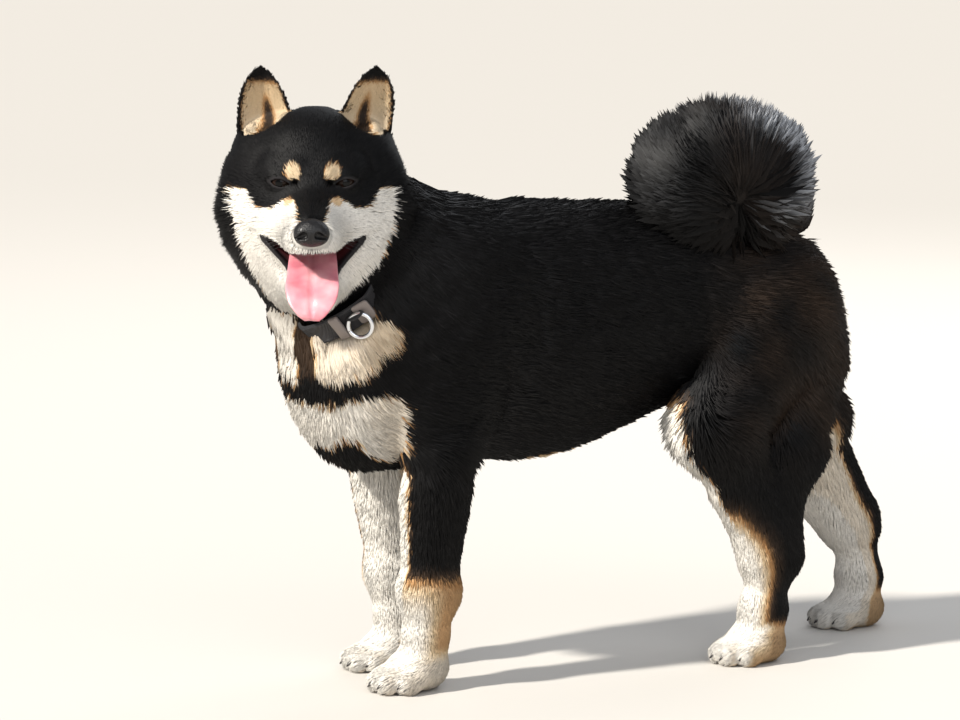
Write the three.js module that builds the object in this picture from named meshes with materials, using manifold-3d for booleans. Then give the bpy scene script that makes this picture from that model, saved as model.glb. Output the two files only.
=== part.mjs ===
// A standing Shiba Inu, black and tan, at life size: a still model in millimetres.
// +Z is up, the dog faces -X, its left side is -Y, and its soles are at Z 0.
// The body is one smooth field of rounded masses, meshed region by region and parted with thin
// cuts. The field's zero is the outside of the coat.
import * as THREE from 'three';
import { mergeVertices } from 'three/addons/utils/BufferGeometryUtils.js';
import Module from 'manifold-3d';

const wasm = await Module();
wasm.setup();

const X = 0;
const Y = 1;
const Z = 2;
const rad = THREE.MathUtils.degToRad;
const vec = (p) => new THREE.Vector3(...p);

// Driving dimensions
const GAP = 0.3; // between two nodes that meet
const CLEAR = 0.45; // the coat is grown by this where another node is trimmed to it
const CELL = { torso: 25, neck: 18, head: 9.8, leg: 15, paw: 9.4, tail: 13, nose: 3.6 };

// The head and what is on it, in the head's frame: x to its right, y forward, z up from the eyes
const HEAD = { at: [-64, -6, 428], turn: 157, nod: -4 }; // degrees
const EYE = { at: [25, 46.5, 0], r: 9, width: 20, height: 10, outward: 14, lid: 2 };
const NOSE = { at: [0, 108, -31.5], r: [13.5, 10.5, 11.5] };
const MOUTH = { corner: [36, -42], upper_slope: 5, lower_slope: 38, half_width: 41, gum: 34 };
const LIP = { r: 2.3, points: 13, spread: 71, upper_from: [44, -39.8], lower_from: [44, -55] };
const EAR = {
  base: [37, -8, 20], tip: [43, 9, 88], half_width: 25.5, outward: 12, cup: 13, thick: 5,
  rows: 9, columns: 8, left_lean: 9,
};
const TONGUE = {
  path: [[40, -45], [60, -58], [80, -70], [96, -79], [106, -88], [110, -96], [109, -102]],
  half_width: [17, 19, 20.5, 21.5, 19, 13, 6], thick: 7, groove: 1.3,
};
const NECK = { along: [0.665, 0.2, -0.72], head_ends: 60, torso_starts: 114 }; // from HEAD.at
const CLAW = { length: 10, r: 3.4, drop: 5 };

// The masses of the coated body: centres and half axes, or rods with a radius at each end
const TORSO = {
  ribs: { at: [110, 0, 285], r: [160, 80, 104] },
  shoulders: { at: [18, 0, 283], r: [88, 79, 101] },
  loin: { at: [235, 0, 301], r: [125, 69, 80] },
  rump: { at: [328, 0, 300], r: [84, 74, 80] },
  breast: { at: [-26, 0, 248], r: [46, 56, 58] },
};
const BACK = { from: [60, 0, 337], to: [318, 0, 332], r: [58, 50] };
const NECK_TOP = { from: [40, 0, 314], to: [-60, 4, 404], r: [82, 66] };
const THROAT = { from: [-10, 0, 285], to: [-62, -2, 372], r: [72, 62] };

// Legs, joint by joint; side is -1 for the left, and turn points the toes towards -Y, in degrees
const FORE = {
  foreleg_left: { side: -1, elbow: [25, -56, 205], wrist: [19, -50, 85], paw: [0, -46], turn: 14 },
  foreleg_right: { side: 1, elbow: [20, 56, 205], wrist: [31, 52, 85], paw: [16, 48], turn: 4 },
};
const HIND = {
  hindleg_left: {
    side: -1, hip: [336, -38, 290], knee: [278, -60, 212], hock: [333, -54, 99],
    heel: [334, -54, 86], pastern: [328, -53, 45], paw: [313, -52], turn: 12,
    seat: [370, -36, 262], breech: [352, -52, 184],
  },
  hindleg_right: {
    side: 1, hip: [342, 38, 290], knee: [350, 62, 210], hock: [468, 60, 102],
    heel: [477, 60, 86], pastern: [483, 60, 45], paw: [470, 60], turn: 0,
    seat: [390, 36, 255], breech: [430, 52, 196],
  },
};

// The tail's middle line, from its root on the rump up, forward, down and back along the left
// hip, with the radius of its brush at each place
const TAIL = [
  [[364, -2, 350], 26], [[364, -8, 384], 31], [[342, -20, 420], 35], [[300, -34, 442], 37],
  [[258, -48, 434], 37], [[240, -58, 410], 36], [[268, -66, 396], 31], [[312, -64, 399], 23],
  [[344, -60, 404], 14],
];
// The brush: rows of flat locks round a core of dense hair, each bent towards the tail's tip
const BRUSH = {
  core: 0.55, rows: 10, around: 6, wide: 13, thick: 4, sunk: 4, lean: 42, reach: [1, 1.18], seed: 5,
};

// The collar lies in the coat of the neck; angles go round it from the throat to the left
const COLLAR = { width: 21, thick: 3.5, sunk: 5, segments: 30, middle: [-24, -4, 356] };
const KEEPER = { turn: 51, wide: 9, tall: 20.6, thick: 4.4 };
const DRING = { turn: 63, r: 10, wire: 1.9, lean: 26, top: -4, loop: [8, 8, 9] };

// Fields: each takes a point and gives its distance to a surface, negative inside

function ball({ at, r }) {
  const [cx, cy, cz] = at;
  const [rx, ry, rz] = Array.isArray(r) ? r : [r, r, r];
  return (x, y, z) => {
    const ax = (x - cx) / rx;
    const ay = (y - cy) / ry;
    const az = (z - cz) / rz;
    const near = Math.hypot(ax, ay, az);
    return (near * (near - 1)) / (Math.hypot(ax / rx, ay / ry, az / rz) + 1e-9);
  };
}

// A tapered rod with round ends; thin is its width along Y as a share of its depth
function limb({ from, to, r, thin = 1 }) {
  const [ax, ay, az] = from;
  const dx = to[X] - ax;
  const dy = (to[Y] - ay) / thin;
  const dz = to[Z] - az;
  const square = dx * dx + dy * dy + dz * dz;
  return (x, y, z) => {
    const px = x - ax;
    const py = (y - ay) / thin;
    const pz = z - az;
    const t = Math.min(1, Math.max(0, (px * dx + py * dy + pz * dz) / square));
    return Math.hypot(px - t * dx, py - t * dy, pz - t * dz) - (r[0] + (r[1] - r[0]) * t);
  };
}

function softMin(a, b, k) {
  const h = Math.min(1, Math.max(0, 0.5 + (0.5 * (b - a)) / k));
  return b + (a - b) * h - k * h * (1 - h);
}

const softMax = (a, b, k) => -softMin(-a, -b, k);

function blend(k, first, ...others) {
  return (x, y, z) => others.reduce((d, f) => softMin(d, f(x, y, z), k), first(x, y, z));
}

// The head's frame: x to the dog's right, y forward out of the face, z up
const headFrame = new THREE.Matrix4()
  .makeRotationZ(rad(HEAD.turn))
  .multiply(new THREE.Matrix4().makeRotationX(rad(HEAD.nod)))
  .setPosition(...HEAD.at);

function inHead(field) {
  const e = headFrame.clone().invert().elements;
  return (x, y, z) => field(
    Math.abs(e[0] * x + e[4] * y + e[8] * z + e[12]),
    e[1] * x + e[5] * y + e[9] * z + e[13],
    e[2] * x + e[6] * y + e[10] * z + e[14],
  );
}

function mouthField() {
  const [y0, z0] = MOUTH.corner;
  const up = rad(MOUTH.upper_slope);
  const down = rad(MOUTH.lower_slope);
  return (x, y, z) => {
    const palate = (z - z0) * Math.cos(up) + (y - y0) * Math.sin(up);
    const floor = (z0 - 4 - z) * Math.cos(down) - (y - y0) * Math.sin(down);
    return softMax(softMax(palate, floor, 3), Math.max(MOUTH.gum - y, x - MOUTH.half_width), 4);
  };
}

function headField() {
  const skull = blend(
    18,
    ball({ at: [0, -8, 8], r: [57, 60, 48] }),
    ball({ at: [0, 16, 24], r: [42, 34, 27] }),
    ball({ at: [40, -12, 12], r: [29, 38, 38] }),
    ball({ at: [35, 0, -27], r: [45, 44, 48] }),
    ball({ at: [0, 0, -58], r: [50, 40, 50] }),
    ball({ at: [0, -42, -14], r: [58, 44, 60] }),
  );
  const muzzle = blend(
    10,
    limb({ from: [0, 40, -28], to: [0, 93, -36], r: [31, 17] }),
    limb({ from: [14, 46, -41], to: [9, 95, -40], r: [23, 13] }),
    ball({ at: [0, 33, -6], r: [33, 22, 20] }),
  );
  const jaw = limb({ from: [9, 20, -76], to: [8, 77, -87], r: [25, 13.5] });
  const closed = blend(16, skull, muzzle, jaw);
  const mouth = mouthField();
  return inHead((x, y, z) => softMax(closed(x, y, z), -mouth(x, y, z), 4));
}

// A paw of four toes and a pad; its toes point along -X, turned by degrees towards -Y
function pawField({ paw, turn }) {
  const c = Math.cos(rad(turn));
  const s = Math.sin(rad(turn));
  const at = (forward, side, z) => [
    paw[X] - forward * c + side * s, paw[Y] - forward * s - side * c, z,
  ];
  const toes = [[-17, 8, 10.5], [-6, 19, 11], [6, 19, 11], [17, 8, 10.5]].map(
    ([side, forward, r]) => limb({
      from: at(forward - 16, side * 0.85, 17), to: at(forward + 2, side, 9.5), r: [r + 1, r],
    }),
  );
  return blend(4.5, ...toes, ball({ at: at(-10, 0, 16), r: [24, 22, 18] }));
}

function foreField(leg) {
  const { side, elbow, wrist, paw } = leg;
  return blend(
    14,
    ball({ at: [24, side * 52, 258], r: [48, 36, 78] }),
    limb({ from: elbow, to: wrist, r: [31, 23] }),
    limb({ from: wrist, to: [paw[X] + 16, paw[Y], 27], r: [23, 19] }),
    pawField(leg),
  );
}

function hindField(leg) {
  const { hip, knee, hock, heel, pastern, paw, seat, breech } = leg;
  return blend(
    14,
    blend(
      24,
      limb({ from: hip, to: knee, r: [64, 37], thin: 0.62 }),
      limb({ from: seat, to: breech, r: [41, 28], thin: 0.66 }),
      limb({ from: knee, to: hock, r: [35, 26], thin: 0.78 }),
      limb({ from: breech, to: hock, r: [24, 22], thin: 0.8 }),
    ),
    limb({ from: heel, to: pastern, r: [22, 18], thin: 0.9 }),
    limb({ from: pastern, to: [paw[X] + 12, paw[Y], 23], r: [18, 18] }),
    pawField(leg),
  );
}

// A field worked out only in its own box, and given as far away elsewhere
function within(low, high, margin, field) {
  return (x, y, z) => {
    const out = Math.max(low[X] - x, x - high[X], low[Y] - y, y - high[Y], low[Z] - z, z - high[Z]);
    return out > 0 ? out + margin : field(x, y, z);
  };
}

function legField(leg, shape) {
  const { paw, side } = leg;
  const [low, high] = [[paw[X] - 230, side * 50 - 80, -30], [paw[X] + 190, side * 50 + 80, 400]];
  return within(low, high, 30, shape(leg));
}

const headAndNeck = within([-240, -160, 240], [80, 140, 560], 30, headField());
const bodyField = blend(
  26,
  blend(34, ...Object.values(TORSO).map(ball), limb(BACK)),
  blend(30, limb(NECK_TOP), limb(THROAT)),
);
const legFields = [
  ...Object.values(FORE).map((leg) => legField(leg, foreField)),
  ...Object.values(HIND).map((leg) => legField(leg, hindField)),
];
const dogField = (x, y, z) => legFields.reduce(
  (d, leg) => softMin(d, leg(x, y, z), 20),
  softMin(bodyField(x, y, z), headAndNeck(x, y, z), 18),
);

// Meshing: one vertex in each cell that the surface crosses, drawn onto the surface

function gradient(field, p, step = 0.5) {
  return [X, Y, Z].map((i) => {
    const a = [...p];
    const b = [...p];
    a[i] += step;
    b[i] -= step;
    return (field(...a) - field(...b)) / (2 * step);
  });
}

function drawn(field, level, p, most) {
  const d = field(...p) - level;
  const g = gradient(field, p);
  const square = g[0] ** 2 + g[1] ** 2 + g[2] ** 2 + 1e-6;
  const move = Math.min(Math.abs(d) / Math.sqrt(square), most) / Math.sqrt(square);
  return p.map((v, i) => v - Math.sign(d) * g[i] * move);
}

// A grid cell's corners are numbered by bits for X, Y and Z, its edges by axis and two offsets
const edgeEnds = Array.from({ length: 12 }, (_, e) => {
  const axis = e >> 2;
  const start = ((e & 1) << ((axis + 1) % 3)) | (((e >> 1) & 1) << ((axis + 2) % 3));
  return [start, start | (1 << axis)];
});

// For each pattern of inside corners: the crossed edges, grouped by the sheet that crosses them
const sheets = Array.from({ length: 256 }, (_, pattern) => {
  const isIn = (corner) => (pattern >> corner) & 1;
  const crossed = [...edgeEnds.keys()].filter((e) => isIn(edgeEnds[e][0]) !== isIn(edgeEnds[e][1]));
  const group = new Map(crossed.map((e) => [e, e]));
  const join = (a, b) => {
    const [from, to] = [group.get(a), group.get(b)];
    for (const [e, g] of group) if (g === from) group.set(e, to);
  };
  for (let axis = 0; axis < 3; axis++)
    for (let side = 0; side < 2; side++) {
      const onFace = crossed.filter((e) => edgeEnds[e].every((c) => ((c >> axis) & 1) === side));
      for (const a of onFace)
        for (const b of onFace) {
          const shared = edgeEnds[a].find((c) => edgeEnds[b].includes(c));
          if (a < b && (onFace.length === 2 || (shared !== undefined && isIn(shared)))) join(a, b);
        }
    }
  return [...new Set(group.values())].map((g) => crossed.filter((e) => group.get(e) === g));
});

// The closed surface where the field has this level, inside the box from low to high
function surface(field, low, high, cell, level = 0) {
  const n = low.map((v, i) => Math.ceil((high[i] - v) / cell) + 1);
  const step = [n[1] * n[2], n[2], 1];
  const spot = (i, j, k) => i * step[X] + j * step[Y] + k;
  const value = new Float32Array(n[0] * n[1] * n[2]);
  for (let i = 0; i < n[0]; i++)
    for (let j = 0; j < n[1]; j++)
      for (let k = 0; k < n[2]; k++) {
        const rim = !(i && j && k) || i === n[0] - 1 || j === n[1] - 1 || k === n[2] - 1;
        const here = field(low[0] + i * cell, low[1] + j * cell, low[2] + k * cell) - level;
        value[spot(i, j, k)] = rim ? Math.max(here, cell / 2) : here;
      }
  const vertexOf = new Map();
  const points = [];
  const at = (corner) => [X, Y, Z].map((m) => (corner >> m) & 1);
  const offset = [...Array(8).keys()].map((c) => at(c).reduce((s, v, m) => s + v * step[m], 0));
  for (let i = 0; i < n[0] - 1; i++)
    for (let j = 0; j < n[1] - 1; j++)
      for (let k = 0; k < n[2] - 1; k++) {
        const here = spot(i, j, k);
        const pattern = offset.reduce((bits, o, c) => bits | ((value[here + o] < 0) << c), 0);
        for (const sheet of sheets[pattern]) {
          const sum = [0, 0, 0];
          for (const e of sheet) {
            const [a, b] = edgeEnds[e];
            const t = value[here + offset[a]] / (value[here + offset[a]] - value[here + offset[b]]);
            at(a).forEach((v, m) => { sum[m] += v + (m === e >> 2 ? t : 0); });
            vertexOf.set(here * 12 + e, points.length);
          }
          let p = [i, j, k].map((v, m) => low[m] + cell * (v + sum[m] / sheet.length));
          const inside = [i, j, k].every((v, m) => v > 0 && v < n[m] - 2);
          for (let pass = 0; inside && pass < 2; pass++) p = drawn(field, level, p, cell * 0.4);
          points.push(p);
        }
      }
  const far = (a, b) => Math.hypot(...points[a].map((v, i) => v - points[b][i]));
  const index = [];
  for (let i = 0; i < n[0] - 1; i++)
    for (let j = 0; j < n[1] - 1; j++)
      for (let k = 0; k < n[2] - 1; k++)
        for (const axis of [X, Y, Z]) {
          const here = spot(i, j, k);
          if (value[here] < 0 === value[here + step[axis]] < 0) continue;
          const quad = [[1, 1], [0, 1], [0, 0], [1, 0]].map(([u, w]) => vertexOf.get(
            (here - u * step[(axis + 1) % 3] - w * step[(axis + 2) % 3]) * 12 + axis * 4 + u + 2 * w,
          ));
          if (value[here] >= 0) quad.reverse();
          const [a, b, c, d] = quad;
          if (far(a, c) < far(b, d)) index.push(a, b, c, a, c, d);
          else index.push(a, b, d, b, c, d);
        }
  return new THREE.BufferGeometry()
    .setAttribute('position', new THREE.Float32BufferAttribute(points.flat(), 3))
    .setIndex(index);
}

// A skin over rings of as many points each, closed by a fan at each end, or end to end
function loft(rings, endless = false) {
  const around = rings[0].length;
  const points = rings.flat();
  const index = [];
  const row = (i) => (i % rings.length) * around;
  for (let i = 0; i < rings.length - (endless ? 0 : 1); i++)
    for (let j = 0; j < around; j++) {
      const next = (j + 1) % around;
      const [a, b, c, d] = [row(i) + j, row(i) + next, row(i + 1) + next, row(i + 1) + j];
      index.push(a, c, b, a, d, c);
    }
  for (const end of endless ? [] : [0, rings.length - 1]) {
    const middle = rings[end].reduce((s, p) => s.add(p), new THREE.Vector3()).divideScalar(around);
    for (let j = 0; j < around; j++) {
      const pair = [row(end) + j, row(end) + ((j + 1) % around)];
      index.push(points.length, ...(end ? pair.reverse() : pair));
    }
    points.push(middle);
  }
  return new THREE.BufferGeometry()
    .setAttribute('position', new THREE.Float32BufferAttribute(points.flatMap((p) => [...p]), 3))
    .setIndex(index);
}

// A rod along a path of points; size gives half its width and depth at a share of its length,
// and start is the angle of its first side
function sweep(path, size, sides, facing, start = 0) {
  const rings = path.map((p, i) => {
    const ahead = path[Math.min(i + 1, path.length - 1)].clone();
    const tangent = ahead.sub(path[Math.max(i - 1, 0)]).normalize();
    const across = tangent.clone().cross(facing).normalize();
    const out = across.clone().cross(tangent);
    const [w, h] = size(i / (path.length - 1));
    return Array.from({ length: sides }, (_, j) => {
      const angle = start + (2 * Math.PI * j) / sides;
      return p.clone().addScaledVector(across, w * Math.cos(angle))
        .addScaledVector(out, h * Math.sin(angle));
    });
  });
  return loft(rings);
}

// How far a field's level lies from a point along a direction
function reach(field, from, direction, level, most = 160) {
  let [near, far] = [0, most];
  for (let pass = 0; pass < 24; pass++) {
    const middle = (near + far) / 2;
    const p = from.clone().addScaledVector(direction, middle);
    if (field(p.x, p.y, p.z) < level) near = middle;
    else far = middle;
  }
  return near;
}

// Solids: three.js geometry to and from manifold-3d, which joins and cuts

function solid(geometry, tolerance = 1e-3) {
  const bare = new THREE.BufferGeometry()
    .setAttribute('position', geometry.getAttribute('position'))
    .setIndex(geometry.index);
  const merged = mergeVertices(bare, tolerance);
  return new wasm.Manifold(new wasm.Mesh({
    numProp: 3,
    vertProperties: new Float32Array(merged.getAttribute('position').array),
    triVerts: new Uint32Array(merged.index.array),
  }));
}

function geometryOf(manifold) {
  const { numProp, numVert, vertProperties, triVerts } = manifold.getMesh();
  const position = new Float32Array(numVert * 3);
  for (let i = 0; i < numVert; i++) {
    position.set(vertProperties.subarray(i * numProp, i * numProp + 3), i * 3);
  }
  return new THREE.BufferGeometry()
    .setAttribute('position', new THREE.BufferAttribute(position, 3))
    .setIndex(new THREE.BufferAttribute(new Uint32Array(triVerts), 1));
}

// A fresh grid place is tried where two sheets of the surface share a cell
function solidOf(field, low, high, cell, level = 0) {
  for (let shift = 0; shift < 8; shift++) {
    const start = low.map((v, i) => v - (shift * cell * (0.31 + 0.07 * i)) % cell);
    try {
      const made = solid(surface(field, start, high, cell, level));
      if (made.numTri() > 0) return made;
    } catch (error) {
      if (shift === 7) throw error;
    }
  }
  throw new Error('no grid gives a closed surface');
}

function largest(manifold) {
  return manifold.decompose().reduce((a, b) => (b.volume() > a.volume() ? b : a));
}

// All space on the side of a plane that its normal points away from, moved in by inset
function behind(point, normal, inset = 0) {
  const side = 1600;
  const n = vec(normal).normalize();
  const turn = new THREE.Quaternion().setFromUnitVectors(new THREE.Vector3(0, 0, 1), n);
  const middle = vec(point).addScaledVector(n, -side / 2 - inset);
  const box = new THREE.BoxGeometry(side, side, side)
    .applyMatrix4(new THREE.Matrix4().compose(middle, turn, new THREE.Vector3(1, 1, 1)));
  return solid(box);
}

// A region is the space behind all of its planes, each [point, normal]
function region(planes, inset) {
  return planes.map(([point, normal]) => behind(point, normal, inset))
    .reduce((a, b) => a.intersect(b));
}

const alongNeck = (distance) => HEAD.at.map((v, i) => v + NECK.along[i] * distance);
const backAlong = NECK.along.map((v) => -v);

// The regions that part the body; the torso is what none of them takes
function legRegions() {
  const regions = {};
  for (const [name, { side, paw }] of Object.entries(FORE)) {
    const middle = [[0, side * 9, 0], [0, -side, 0]];
    const armpit = [[34, side * 22, 179], [0, -side * 0.9, 1]];
    const front = [[-24, 0, 200], [-1, 0, -0.12]];
    const back = [[84, 0, 200], [1, 0, -0.08]];
    const ankle = [[paw[X] + 12, paw[Y], 46], [-0.2, 0, 1]];
    regions[name] = [middle, armpit, front, back, [ankle[0], ankle[1].map((v) => -v)]];
    regions[name.replace('leg', 'paw')] = [middle, ankle];
  }
  for (const [name, { side, paw }] of Object.entries(HIND)) {
    const middle = [[0, 0, 0], [0, -side, 0]];
    const groin = [[330, side * 30, 208], [0.06, -side * 0.7, 1]];
    const front = [[240, 0, 200], [-1, 0, 1]];
    const ankle = [[paw[X] + 14, paw[Y], 44], [-0.2, 0, 1]];
    regions[name] = [middle, groin, front, [ankle[0], ankle[1].map((v) => -v)]];
    regions[name.replace('leg', 'paw')] = [middle, front, ankle];
  }
  return regions;
}

const LEG_REGIONS = legRegions();
const HEAD_REGION = [[alongNeck(NECK.head_ends), NECK.along]];
const NECK_REGION = [[alongNeck(NECK.head_ends), backAlong], [alongNeck(NECK.torso_starts), NECK.along]];
const BODY_REGION = [[alongNeck(NECK.torso_starts), backAlong]];
const FLOOR = behind([0, 0, 0], [0, 0, -1]);

const BOX = {
  head: [[-170, -150, 300], [40, 110, 500]],
  neck: [[-150, -120, 215], [120, 120, 480]],
  torso: [[-110, -110, 130], [470, 110, 430]],
};

function legBox({ paw }, isPaw) {
  const [low, high] = isPaw ? [[-62, -42, -16], [50, 42, 68]] : [[-190, -70, 20], [160, 70, 300]];
  return [low, high].map((p) => [paw[X] + p[X], paw[Y] + p[Y], p[Z]]);
}

const nodes = new Map();
const BLACK = '#1b1918';
const CREAM = '#e6d3b4';
const PINK = '#d97c86';

function keep(name, manifold, colour, roughness = 0.8, metalness = 0) {
  nodes.set(name, { manifold: largest(manifold), colour, roughness, metalness });
}

const inside = (planes) => region(planes, GAP / 2);
const around = (planes) => region(planes, -GAP / 2);
const joined = (manifolds) => manifolds.reduce((a, b) => a.add(b));

// From the head's frame to the model's, for points and for directions
const toHead = (p) => vec(p).applyMatrix4(headFrame);
const aim = (p) => vec(p).transformDirection(headFrame);
const mirrored = ([x, y, z]) => [-x, y, z];

// Eyes, and lids that close in on them from a shell cut by the almond of their opening
const eyeTurn = (side) => aim([side * Math.sin(rad(EYE.outward)), Math.cos(rad(EYE.outward)), 0]);

function orb(at, r, segments = 12) {
  const sphere = new THREE.SphereGeometry(r, segments, Math.round(segments * 0.6));
  return solid(sphere.rotateX(Math.PI / 2).translate(...toHead(at).toArray()));
}

function opening(at, side) {
  const outline = new THREE.Shape();
  const [w, h] = [EYE.width / 2, EYE.height / 2];
  outline.moveTo(-w, -1);
  outline.bezierCurveTo(-w * 0.5, h * 1.3, w * 0.5, h * 1.5, w, 2);
  outline.bezierCurveTo(w * 0.5, -h * 0.9, -w * 0.5, -h * 1.2, -w, -1);
  const prism = new THREE.ExtrudeGeometry(outline, { depth: 40, bevelEnabled: false, curveSegments: 5 });
  const forward = eyeTurn(side);
  const up = aim([0, 0, 1]);
  const outward = up.clone().cross(forward).multiplyScalar(-side);
  const frame = new THREE.Matrix4().makeBasis(outward, up, forward).setPosition(toHead(at));
  const geometry = prism.applyMatrix4(frame);
  return solid(side < 0 ? geometry : turnedOut(geometry));
}

// The same triangles facing the other way, for a shape that a mirroring has turned inside out
function turnedOut(geometry) {
  const merged = mergeVertices(new THREE.BufferGeometry()
    .setAttribute('position', geometry.getAttribute('position')).setIndex(geometry.index), 1e-3);
  const index = merged.index.array;
  for (let i = 0; i < index.length; i += 3) [index[i], index[i + 1]] = [index[i + 1], index[i]];
  return merged;
}

// The rim of the mouth on one jaw, followed round the muzzle at the slope of that jaw
function lip([y0, z0], slope) {
  const path = Array.from({ length: LIP.points }, (_, i) => {
    const turn = rad(LIP.spread * ((2 * i) / (LIP.points - 1) - 1));
    const direction = aim([Math.sin(turn), Math.cos(turn), -Math.cos(turn) * Math.tan(rad(slope))]);
    const from = toHead([0, y0, z0]);
    return from.addScaledVector(direction, reach(dogField, from, direction, -LIP.r * 0.5));
  });
  return solid(sweep(path, () => [LIP.r, LIP.r], 6, aim([0, 0, 1])));
}

// One ear: rows of a cupped leaf from the base, sunk in the head, to the rounded tip
function ear(side) {
  const { base, tip, half_width, outward, cup, thick, rows, columns, left_lean } = EAR;
  const lean = side < 0 ? left_lean : 0;
  const across = [Math.cos(rad(outward)), -Math.sin(rad(outward)), 0];
  const forward = [Math.sin(rad(outward)), Math.cos(rad(outward)), 0];
  const rings = Array.from({ length: rows + 1 }, (_, row) => {
    const s = (row / rows) ** 0.85 * 0.995;
    const half = half_width * (1 - s ** 2.6) ** 0.6;
    const at = (u, back) => {
      const bowl = cup * (half / half_width) * (u * u - 0.6);
      const depth = bowl - back * thick * (1 - 0.35 * s) * Math.sqrt(1 - 0.8 * u * u);
      const spot = base.map((v, i) => v + (tip[i] - v) * s + half * u * across[i] + depth * forward[i]);
      return toHead([side * (spot[0] + lean * s), spot[1], spot[2]]);
    };
    const front = Array.from({ length: columns + 1 }, (_, i) => at((2 * i) / columns - 1, 0));
    const back = Array.from({ length: columns - 1 }, (_, i) => at(1 - (2 * (i + 1)) / columns, 1));
    return [...front, ...back];
  });
  const shape = loft(rings);
  return solid(side > 0 ? shape : turnedOut(shape));
}

function tongue() {
  const { path, half_width, thick, groove } = TONGUE;
  const at = ([y, z], x = 0) => toHead([x, y, z]);
  const facing = aim([0, 0.6, 0.8]);
  const last = path.length - 1;
  const body = sweep(path.map((p) => at(p)), (t) => {
    const w = half_width[Math.round(t * last)];
    return [w, Math.min(thick / 2, w / 3)];
  }, 12, facing);
  const line = path.slice(0, last).map((p) => at(p).addScaledVector(facing, thick / 2));
  return solid(body).subtract(solid(sweep(line, () => [groove, groove], 6, facing)));
}

function noseField() {
  const [x0, y0, z0] = NOSE.at;
  const pad = ball(NOSE);
  const nostril = limb({ from: [x0 + 5, y0 + 9, z0 + 1], to: [x0 + 11, y0 + 6, z0 - 2.5], r: [3, 2] });
  const cleft = limb({ from: [x0, y0 + 11, z0 - 2], to: [x0, y0 + 6, z0 - 12], r: [1.4, 1.4] });
  return inHead((x, y, z) => Math.max(pad(x, y, z), -nostril(x, y, z), -cleft(x, y, z)));
}

// Head and jaw, parted from the corners of the mouth back and down to the throat
const headPlane = (point, normal) => [toHead(point).toArray(), aim(normal).toArray()];
const corner = [0, ...MOUTH.corner];
const midMouth = rad((MOUTH.upper_slope + MOUTH.lower_slope) / 2);
const JAW_REGION = [
  headPlane(corner, [0, -0.9, 0.42]),
  headPlane(corner, [0, Math.sin(midMouth), Math.cos(midMouth)]),
];

const headWhole = solidOf(dogField, ...BOX.head, CELL.head);
const headGrown = solidOf(dogField, ...BOX.head, CELL.head, CLEAR);
const lips = lip(LIP.upper_from, MOUTH.upper_slope).add(lip(LIP.lower_from, MOUTH.lower_slope));
let skull = headWhole.add(lips).intersect(inside(HEAD_REGION));
for (const [name, side] of [['eye_right', 1], ['eye_left', -1]]) {
  const at = side > 0 ? EYE.at : mirrored(EYE.at);
  skull = skull.add(orb(at, EYE.r + EYE.lid)).subtract(opening(at, side));
  skull = skull.subtract(orb(at, EYE.r + GAP));
  keep(name, orb(at, EYE.r), '#120a06', 0.1);
}
keep('head', skull.subtract(around(JAW_REGION)), BLACK);
keep('jaw', skull.intersect(inside(JAW_REGION)), CREAM);

const headFilled = headGrown.add(lips);
const trimmed = (shape) => largest(shape.subtract(headFilled).subtract(headWhole));
keep('ear_right', trimmed(ear(1)), BLACK);
keep('ear_left', trimmed(ear(-1)), BLACK);
const noseBox = [-1, 1].map((sign) => toHead(NOSE.at).toArray().map((v) => v + sign * 22));
keep('nose', trimmed(solidOf(noseField(), ...noseBox, CELL.nose)), '#17130f', 0.35);
keep('tongue', trimmed(tongue()), PINK, 0.4);

// The collar's loop, found by reaching out from the middle of the neck
const neckAxis = vec(NECK.along).normalize();
const toThroat = new THREE.Vector3(-1, 0, 0).projectOnPlane(neckAxis).normalize();
const toLeft = toThroat.clone().cross(neckAxis);

function onCollar(turn, level, shift) {
  const from = vec(COLLAR.middle).addScaledVector(neckAxis, shift);
  const direction = toThroat.clone().multiplyScalar(Math.cos(turn))
    .addScaledVector(toLeft, Math.sin(turn));
  return from.addScaledVector(direction, reach(bodyField, from, direction, level));
}

function band(inner, outer, width) {
  const corners = [[inner, width / 2], [outer, width / 2], [outer, -width / 2], [inner, -width / 2]];
  const rings = Array.from({ length: COLLAR.segments }, (_, i) => {
    const turn = (2 * Math.PI * i) / COLLAR.segments;
    const foot = onCollar(turn, -COLLAR.sunk, 0);
    const out = foot.clone().sub(vec(COLLAR.middle)).normalize();
    return corners.map(([depth, along]) => foot.clone().addScaledVector(out, depth)
      .addScaledVector(neckAxis, along));
  });
  return solid(loft(rings, true));
}

const collar = band(-COLLAR.thick, 0, COLLAR.width);
const groove = band(-COLLAR.thick - GAP, 60, COLLAR.width + 2 * GAP);
const collarFrame = (turn, out) => {
  const foot = onCollar(turn, -COLLAR.sunk, 0);
  const forward = foot.clone().sub(vec(COLLAR.middle)).normalize();
  const side = neckAxis.clone().cross(forward).normalize();
  return new THREE.Matrix4().makeBasis(side, neckAxis, forward)
    .setPosition(foot.addScaledVector(forward, out));
};

function keeper() {
  const { turn, wide, tall, thick } = KEEPER;
  const plate = new THREE.BoxGeometry(wide, tall, thick);
  return solid(plate.applyMatrix4(collarFrame(rad(turn), thick / 2)))
    .subtract(band(-3 * COLLAR.thick, GAP, 2 * COLLAR.width));
}

// A ring that lies along the collar and hangs below it, held by a loop of strap round its top
function ring(wire) {
  const { r, turn, lean, top } = DRING;
  const torus = new THREE.TorusGeometry(r, wire, 6, 16).translate(0, r, 0).rotateX(rad(lean));
  torus.translate(0, top, DRING.wire + 3 * GAP);
  return solid(torus.applyMatrix4(collarFrame(rad(turn), 0)));
}

function strapLoop() {
  const { turn, wire, top, loop } = DRING;
  const block = new THREE.BoxGeometry(...loop).translate(0, top, 0);
  return solid(block.applyMatrix4(collarFrame(rad(turn), wire)));
}

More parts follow.
